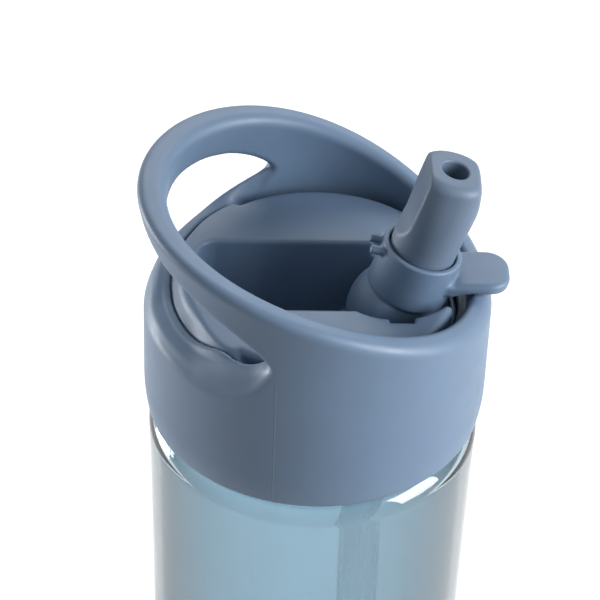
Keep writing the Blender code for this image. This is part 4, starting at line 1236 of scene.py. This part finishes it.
class BottleSizes(bpy.types.PropertyGroup):
    """Sizes of the mesh and of the edges that a user may change."""

    cell: FloatProperty(
        name="Mesh cell",
        description="Spacing of the net on moulded pieces",
        default=0.6 * MM,
        unit="LENGTH",
    )
    core_cell: FloatProperty(
        name="Core mesh cell",
        description="Spacing of the net on the lid's inner part",
        default=0.64 * MM,
        unit="LENGTH",
    )
    fine_cell: FloatProperty(
        name="Fine mesh cell",
        description="Spacing of the net on the spout",
        default=0.32 * MM,
        unit="LENGTH",
    )
    rim_round: FloatProperty(
        name="Rim round",
        description="Radius on the cap's slanted rim",
        default=2.3 * MM,
        unit="LENGTH",
    )
    window_round: FloatProperty(
        name="Window round",
        description="Radius on the carry loop's lower edges",
        default=1.1 * MM,
        unit="LENGTH",
    )
    trough_round: FloatProperty(
        name="Trough round",
        description="Radius on the trough's top edges",
        default=0.5 * MM,
        unit="LENGTH",
    )
    tab_round: FloatProperty(
        name="Tab round",
        description="Radius on the thumb tab's edges",
        default=1.2 * MM,
        unit="LENGTH",
    )
    facet_round: FloatProperty(
        name="Facet round",
        description="Radius along the mouthpiece's flat facet",
        default=0.35 * MM,
        unit="LENGTH",
    )
    turn_steps: IntProperty(name="Steps round", description="Facets round the turned body", default=160)


class BottleColours(bpy.types.PropertyGroup):
    """Colours of the finishes."""

    lid: FloatVectorProperty(
        name="Lid",
        description="Slate plastic of the lid",
        default=(0.118, 0.182, 0.278, 1),
        size=4,
        subtype="COLOR",
    )
    silicone: FloatVectorProperty(
        name="Mouthpiece",
        description="Soft spout tip",
        default=(0.112, 0.160, 0.232, 1),
        size=4,
        subtype="COLOR",
    )
    seal: FloatVectorProperty(
        name="Seals",
        description="Milky silicone seals",
        default=(0.72, 0.76, 0.78, 1),
        size=4,
        subtype="COLOR",
    )
    bottle: FloatVectorProperty(
        name="Body",
        description="Clear body",
        default=(0.46, 0.60, 0.68, 1),
        size=4,
        subtype="COLOR",
    )
    straw: FloatVectorProperty(
        name="Straw",
        description="Milky drinking straw",
        default=(0.96, 0.98, 0.99, 1),
        size=4,
        subtype="COLOR",
    )


def made_once(name, build, colour, **values):
    """The material of this name, built when the first piece asks for it."""
    return bpy.data.materials.get(name) or build(name, tuple(colour), **values)


def lid_finish():
    """Slate plastic, matte, with the mould's parting line."""
    return made_once(
        "Slate plastic",
        moulded_material,
        bpy.context.scene.bottle_colours.lid,
        roughness=0.46,
        grain=2600,
        mottle=0.05,
        scuffs=0.35,
        parting=True,
    )


def clear_finish():
    """Clear blue plastic, smooth."""
    return made_once(
        "Clear blue plastic",
        clear_material,
        bpy.context.scene.bottle_colours.bottle,
        roughness=0.02,
        ripple=0.12 * MM,
        # edge: how dark the painted shade is where the body is seen edge on
        edge=0.12,
    )


def seal_finish():
    """Milky silicone, nearly unmarked."""
    return made_once(
        "Milky silicone",
        moulded_material,
        bpy.context.scene.bottle_colours.seal,
        roughness=0.5,
        grain=1800,
        mottle=0.03,
        scuffs=0.1,
    )


def straw_finish():
    """Milky extruded plastic."""
    return made_once("Milky straw", straw_material, bpy.context.scene.bottle_colours.straw)


def mouth_finish():
    """Slate silicone, duller and finer in its grain than the lid."""
    return made_once(
        "Slate silicone",
        moulded_material,
        bpy.context.scene.bottle_colours.silicone,
        roughness=0.52,
        grain=3400,
        mottle=0.04,
        scuffs=0.2,
    )


# Operators


class BOTTLE_OT_body(bpy.types.Operator):
    """Turn the clear body from its section, and wind the neck thread round it"""

    bl_idname = "bottle.make_body"
    bl_label = "Make body"

    def execute(self, context):
        side_low = BASE_ROUND
        side_high = SHOULDER_Z - SHOULDER_ROUND
        side_steps = 30
        heights = [side_low + (side_high - side_low) * i / side_steps for i in range(1, side_steps)]

        def side(z):
            share = (z - WAIST_Z) / (side_high - WAIST_Z)
            return WAIST_RADIUS + (BODY_RADIUS - WAIST_RADIUS) * share * share

        outside = [(0, 0)]
        outside += arc((side(side_low) - BASE_ROUND, BASE_ROUND), BASE_ROUND, -90, 0, 10)
        outside += [(side(z), z) for z in heights]
        outside += arc((BODY_RADIUS - SHOULDER_ROUND, side_high), SHOULDER_ROUND, 0, 90, 12)
        outside += arc((NECK_RADIUS + NECK_FILLET, SHOULDER_Z + NECK_FILLET), NECK_FILLET, 270, 180, 5)
        neck_top = SHOULDER_Z + NECK_HEIGHT
        outside += arc((NECK_RADIUS - LIP_ROUND, neck_top - LIP_ROUND), LIP_ROUND, 0, 90, 4)
        inside = arc((NECK_BORE + LIP_ROUND, neck_top - LIP_ROUND), LIP_ROUND, 90, 180, 4)
        turn_centre = (NECK_BORE + NECK_INNER_FILLET, SHOULDER_Z - BODY_WALL + NECK_INNER_FILLET)
        inside += arc(turn_centre, NECK_INNER_FILLET, 180, 270, 4)
        inside += arc((BODY_RADIUS - SHOULDER_ROUND, side_high), SHOULDER_ROUND - BODY_WALL, 90, 0, 10)
        inside += [(side(z) - BODY_WALL, z) for z in reversed(heights)]
        floor_round = BASE_ROUND - BODY_WALL
        inner_side = side(side_low) - BODY_WALL
        inside += arc((inner_side - floor_round, BASE_THICKNESS + floor_round), floor_round, 0, -90, 8)
        inside += [(0, BASE_THICKNESS)]
        steps = context.scene.bottle_sizes.turn_steps
        body = turned("body_wall", outside + inside, clear_finish(), steps)
        piece_done(body, "bottle", "bottle_clear", clear_finish(), "bottle_body")
        ridge = thread("neck_thread", NECK_RADIUS, THREAD_DEPTH, CAP_Z + THREAD_START_RISE, clear_finish())
        piece_done(ridge, "bottle", "bottle_clear", clear_finish(), "bottle_body")
        return {"FINISHED"}


class BOTTLE_OT_cap(bpy.types.Operator):
    """Mould the cap shell with its slanted rim, carry loop and window"""

    bl_idname = "bottle.make_cap"
    bl_label = "Make cap"

    def execute(self, context):
        sizes = context.scene.bottle_sizes
        rim_round = sizes.rim_round / MM
        edge_round = sizes.window_round / MM

        def field(x, y, z):
            return cap_field(x, y, z, rim_round, edge_round)

        reach = CAP_RADIUS + RIM_FLARE
        low = (-reach, -reach, 0)
        high = (CAP_RADIUS, reach, rim_height(-reach))
        cap = mesh_of("cap_outer", field, low, high, sizes.cell / MM, LID_PLACE)
        piece_done(cap, "lid", "lid_plastic", lid_finish(), "cap_shell")
        return {"FINISHED"}


class BOTTLE_OT_core(bpy.types.Operator):
    """Mould the deck with its trough, ball pocket, skirt and plug, and wind the lid thread inside it"""

    bl_idname = "bottle.make_core"
    bl_label = "Make core"

    def execute(self, context):
        sizes = context.scene.bottle_sizes
        edge_round = sizes.trough_round / MM

        def field(x, y, z):
            return core_field(x, y, z, edge_round)

        low = (-SKIRT_RADIUS, -SKIRT_RADIUS, NIPPLE_FOOT)
        high = (SKIRT_RADIUS, SKIRT_RADIUS, DECK_RISE)
        core = mesh_of("deck_and_trough", field, low, high, sizes.core_cell / MM, LID_PLACE)
        piece_done(core, "lid", "lid_plastic", lid_finish(), "lid_core")
        middle = CAP_Z + THREAD_START_RISE - LID_THREAD_DROP
        ridge = thread("lid_thread", SKIRT_BORE, -THREAD_DEPTH, middle, lid_finish())
        piece_done(ridge, "lid", "lid_plastic", lid_finish(), "lid_core")
        return {"FINISHED"}


class BOTTLE_OT_seals(bpy.types.Operator):
    """Turn the lid gasket, the ring under the spout's ball and the vent umbrella"""

    bl_idname = "bottle.make_seals"
    bl_label = "Make seals"

    def execute(self, context):
        finish = seal_finish()
        foot = CAP_Z + GASKET_FOOT_RISE
        top = CAP_Z + GASKET_TOP_RISE
        inner = GASKET_INNER + GASKET_LIP
        outer = GASKET_OUTER - GASKET_LIP
        ring = arc((outer, foot + GASKET_LIP), GASKET_LIP, -90, 0, 4)
        ring += [(GASKET_OUTER - GASKET_WAIST, (foot + top) / 2)]
        ring += arc((outer, top - GASKET_LIP), GASKET_LIP, 0, 90, 4)
        ring += arc((inner, top - GASKET_LIP), GASKET_LIP, 90, 180, 4)
        ring += arc((inner, foot + GASKET_LIP), GASKET_LIP, 180, 270, 4)
        gasket = turned("gasket_ring", ring, finish, 128)
        piece_done(gasket, "gasket", "seal_silicone", finish, "lid_gasket")

        # The seal's top is dished to the ball that it bears on
        clear = BALL_RADIUS + FIT_GAP
        dish_steps = 8
        dish = [SEAL_BORE + (SEAL_RADIUS - SEAL_BORE) * i / dish_steps for i in range(dish_steps + 1)]
        seal_foot = -(clear + SEAL_THICKNESS)
        profile = [(SEAL_BORE, seal_foot)] + [(r, -math.sqrt(clear * clear - r * r)) for r in dish]
        profile += [(SEAL_RADIUS, seal_foot)]
        seal = turned("ball_seal", profile, finish, 64)
        seal.data.transform(HINGE_PLACE)
        piece_done(seal, "lid", "seal_silicone", finish, "spout_seal")

        floor = CAP_Z + TROUGH_FLOOR_RISE
        under = floor - TROUGH_FLOOR_THICKNESS - FIT_GAP
        umbrella = [(radius, under + height) for radius, height in VENT_DISC]
        umbrella += [(radius, floor + height) for radius, height in VENT_KNOB]
        umbrella += [(0, floor + VENT_KNOB_TOP)]
        vent = turned("vent_umbrella", umbrella, finish, 48, (VENT_X, 0))
        piece_done(vent, "lid", "seal_silicone", finish, "vent_valve")
        return {"FINISHED"}


class BOTTLE_OT_straw(bpy.types.Operator):
    """Turn the straw and cut its lower end on a slant"""

    bl_idname = "bottle.make_straw"
    bl_label = "Make straw"

    def execute(self, context):
        side_top = CAP_Z + STRAW_TOP_RISE - STRAW_END_ROUND
        profile = [(STRAW_BORE, STRAW_FOOT_Z), (STRAW_RADIUS, STRAW_FOOT_Z)]
        profile += arc((STRAW_RADIUS - STRAW_END_ROUND, side_top), STRAW_END_ROUND, 0, 90, 3)
        profile += arc((STRAW_BORE + STRAW_END_ROUND, side_top), STRAW_END_ROUND, 90, 180, 3)
        finish = straw_finish()
        straw = turned("straw_tube", profile, finish, 48, (STRAW_X, 0))

        # The foot's two rings rise towards +X, as a slant cut leaves them
        left = (STRAW_X - STRAW_RADIUS) * MM
        middle = (STRAW_FOOT_Z + side_top) / 2 * MM
        for vertex in straw.data.vertices:
            if vertex.co.z < middle:
                vertex.co.z += vertex.co.x - left
        piece_done(straw, "lid", "straw_clear", finish, "straw")
        return {"FINISHED"}


class BOTTLE_OT_spout(bpy.types.Operator):
    """Mould the spout's ball, collar, thumb tab and pegs"""

    bl_idname = "bottle.make_spout"
    bl_label = "Make spout"

    def execute(self, context):
        sizes = context.scene.bottle_sizes
        edge_round = sizes.tab_round / MM

        def field(u, v, s):
            return spout_field(u, v, s, edge_round)

        low = (-PEG_END, -TRUNNION_REACH, -BALL_RADIUS)
        high = (TAB_REACH, TRUNNION_REACH, COLLAR_TOP)
        spout = mesh_of("spout_hub", field, low, high, sizes.fine_cell / MM, SPOUT_PLACE)
        piece_done(spout, "spout", "lid_plastic", lid_finish(), "spout_body")
        return {"FINISHED"}


class BOTTLE_OT_mouthpiece(bpy.types.Operator):
    """Mould the soft mouthpiece"""

    bl_idname = "bottle.make_mouthpiece"
    bl_label = "Make mouthpiece"

    def execute(self, context):
        sizes = context.scene.bottle_sizes
        finish = mouth_finish()
        facet_round = sizes.facet_round / MM

        def field(u, v, s):
            return mouth_field(u, v, s, facet_round)

        low = (-MOUTH_BELLY, -MOUTH_BELLY, MOUTH_FOOT)
        high = (MOUTH_BELLY, MOUTH_BELLY, MOUTH_TOP)
        tip = mesh_of("mouth_tip", field, low, high, sizes.fine_cell / MM, SPOUT_PLACE)
        piece_done(tip, "spout", "soft_silicone", finish, "mouthpiece")
        return {"FINISHED"}


def soft_lamp(name, place, size, power):
    """A white rectangular lamp at place, turned to the lid."""
    data = bpy.data.lights.new(name, "AREA")
    data.shape = "RECTANGLE"
    data.size, data.size_y = size
    data.energy = power
    made = bpy.data.objects.new(name, data)
    made.location = place
    made.rotation_euler = (Vector(LAMP_TARGET) - Vector(place)).to_track_quat("-Z", "Y").to_euler()
    bpy.context.scene.collection.objects.link(made)


def seen_directly(tree):
    """1 for camera, glossy and transmission rays."""
    path = tree.nodes.new("ShaderNodeLightPath")
    seen = math_node(tree, "MAXIMUM", path.outputs["Is Camera Ray"], path.outputs["Is Glossy Ray"])
    return math_node(tree, "MAXIMUM", seen, path.outputs["Is Transmission Ray"])


class BOTTLE_OT_stage(bpy.types.Operator):
    """Lay the pale floor, set the lamps and the world, and place the camera"""

    bl_idname = "bottle.make_stage"
    bl_label = "Make stage"

    def execute(self, context):
        scene = context.scene
        corners = [(FLOOR_HALF * a, FLOOR_HALF * b, 0) for a, b in ((-1, -1), (1, -1), (1, 1), (-1, 1))]
        data = bpy.data.meshes.new("pale_floor")
        data.from_pydata(corners, [], [(0, 1, 2, 3)])
        floor = bpy.data.objects.new("pale_floor", data)
        scene.collection.objects.link(floor)
        finish, tree, shader = blank_material("White floor")[:3]
        shader.inputs["Base Color"].default_value = FLOOR_COLOUR
        shader.inputs["Roughness"].default_value = 0.9
        shader.inputs["Emission Color"].default_value = WHITE
        glow = math_node(tree, "MULTIPLY", seen_directly(tree), FLOOR_GLOW)
        tree.links.new(glow, shader.inputs["Emission Strength"])
        data.materials.append(finish)

        world = bpy.data.worlds.new("studio")
        scene.world = world
        world.use_nodes = True
        tree = world.node_tree
        sky = tree.nodes["Background"]
        sky.inputs["Color"].default_value = WHITE
        level = spread(tree, seen_directly(tree), 0.0, 1.0, AMBIENT, 1.0)
        tree.links.new(level, sky.inputs["Strength"])

        for name, place, size, power in LAMPS:
            soft_lamp(name, place, size, power)

        lens = bpy.data.cameras.new("photo_camera")
        lens.lens = CAMERA_LENS
        lens.sensor_width = CAMERA_SENSOR
        lens.clip_start, lens.clip_end = CAMERA_CLIP
        camera = bpy.data.objects.new("photo_camera", lens)
        scene.collection.objects.link(camera)
        right = Vector(CAMERA_RIGHT)
        up = Vector(CAMERA_UP)
        turn = Matrix((right, up, right.cross(up))).transposed().to_4x4()
        place = (Vector(CAMERA_PLACE) + Vector((0, 0, CAP_Z))) * MM
        camera.matrix_world = Matrix.Translation(place) @ turn
        scene.camera = camera
        scene.view_settings.view_transform = "Standard"
        return {"FINISHED"}


class BOTTLE_PT_panel(bpy.types.Panel):
    """Sizes, colours and pieces of the bottle"""

    bl_idname = "BOTTLE_PT_panel"
    bl_label = "Straw Water Bottle"
    bl_space_type = "VIEW_3D"
    bl_region_type = "UI"
    bl_category = "Bottle"

    def draw(self, context):
        layout = self.layout
        for group in (context.scene.bottle_sizes, context.scene.bottle_colours):
            box = layout.box()
            for name in group.__annotations__:
                box.prop(group, name)
        for piece in PIECES:
            layout.operator(piece.bl_idname)


PIECES = (
    BOTTLE_OT_body,
    BOTTLE_OT_cap,
    BOTTLE_OT_core,
    BOTTLE_OT_seals,
    BOTTLE_OT_straw,
    BOTTLE_OT_spout,
    BOTTLE_OT_mouthpiece,
    BOTTLE_OT_stage,
)

CLASSES = (BottleSizes, BottleColours, *PIECES, BOTTLE_PT_panel)


def register():
    for made in CLASSES:
        bpy.utils.register_class(made)
    bpy.types.Scene.bottle_sizes = PointerProperty(type=BottleSizes)
    bpy.types.Scene.bottle_colours = PointerProperty(type=BottleColours)


def unregister():
    del bpy.types.Scene.bottle_colours
    del bpy.types.Scene.bottle_sizes
    for made in reversed(CLASSES):
        bpy.utils.unregister_class(made)


def main():
    register()
    bpy.ops.bottle.make_body()
    bpy.ops.bottle.make_cap()
    bpy.ops.bottle.make_core()
    bpy.ops.bottle.make_seals()
    bpy.ops.bottle.make_straw()
    bpy.ops.bottle.make_spout()
    bpy.ops.bottle.make_mouthpiece()
    bpy.ops.bottle.make_stage()


if __name__ == "__main__":
    main()
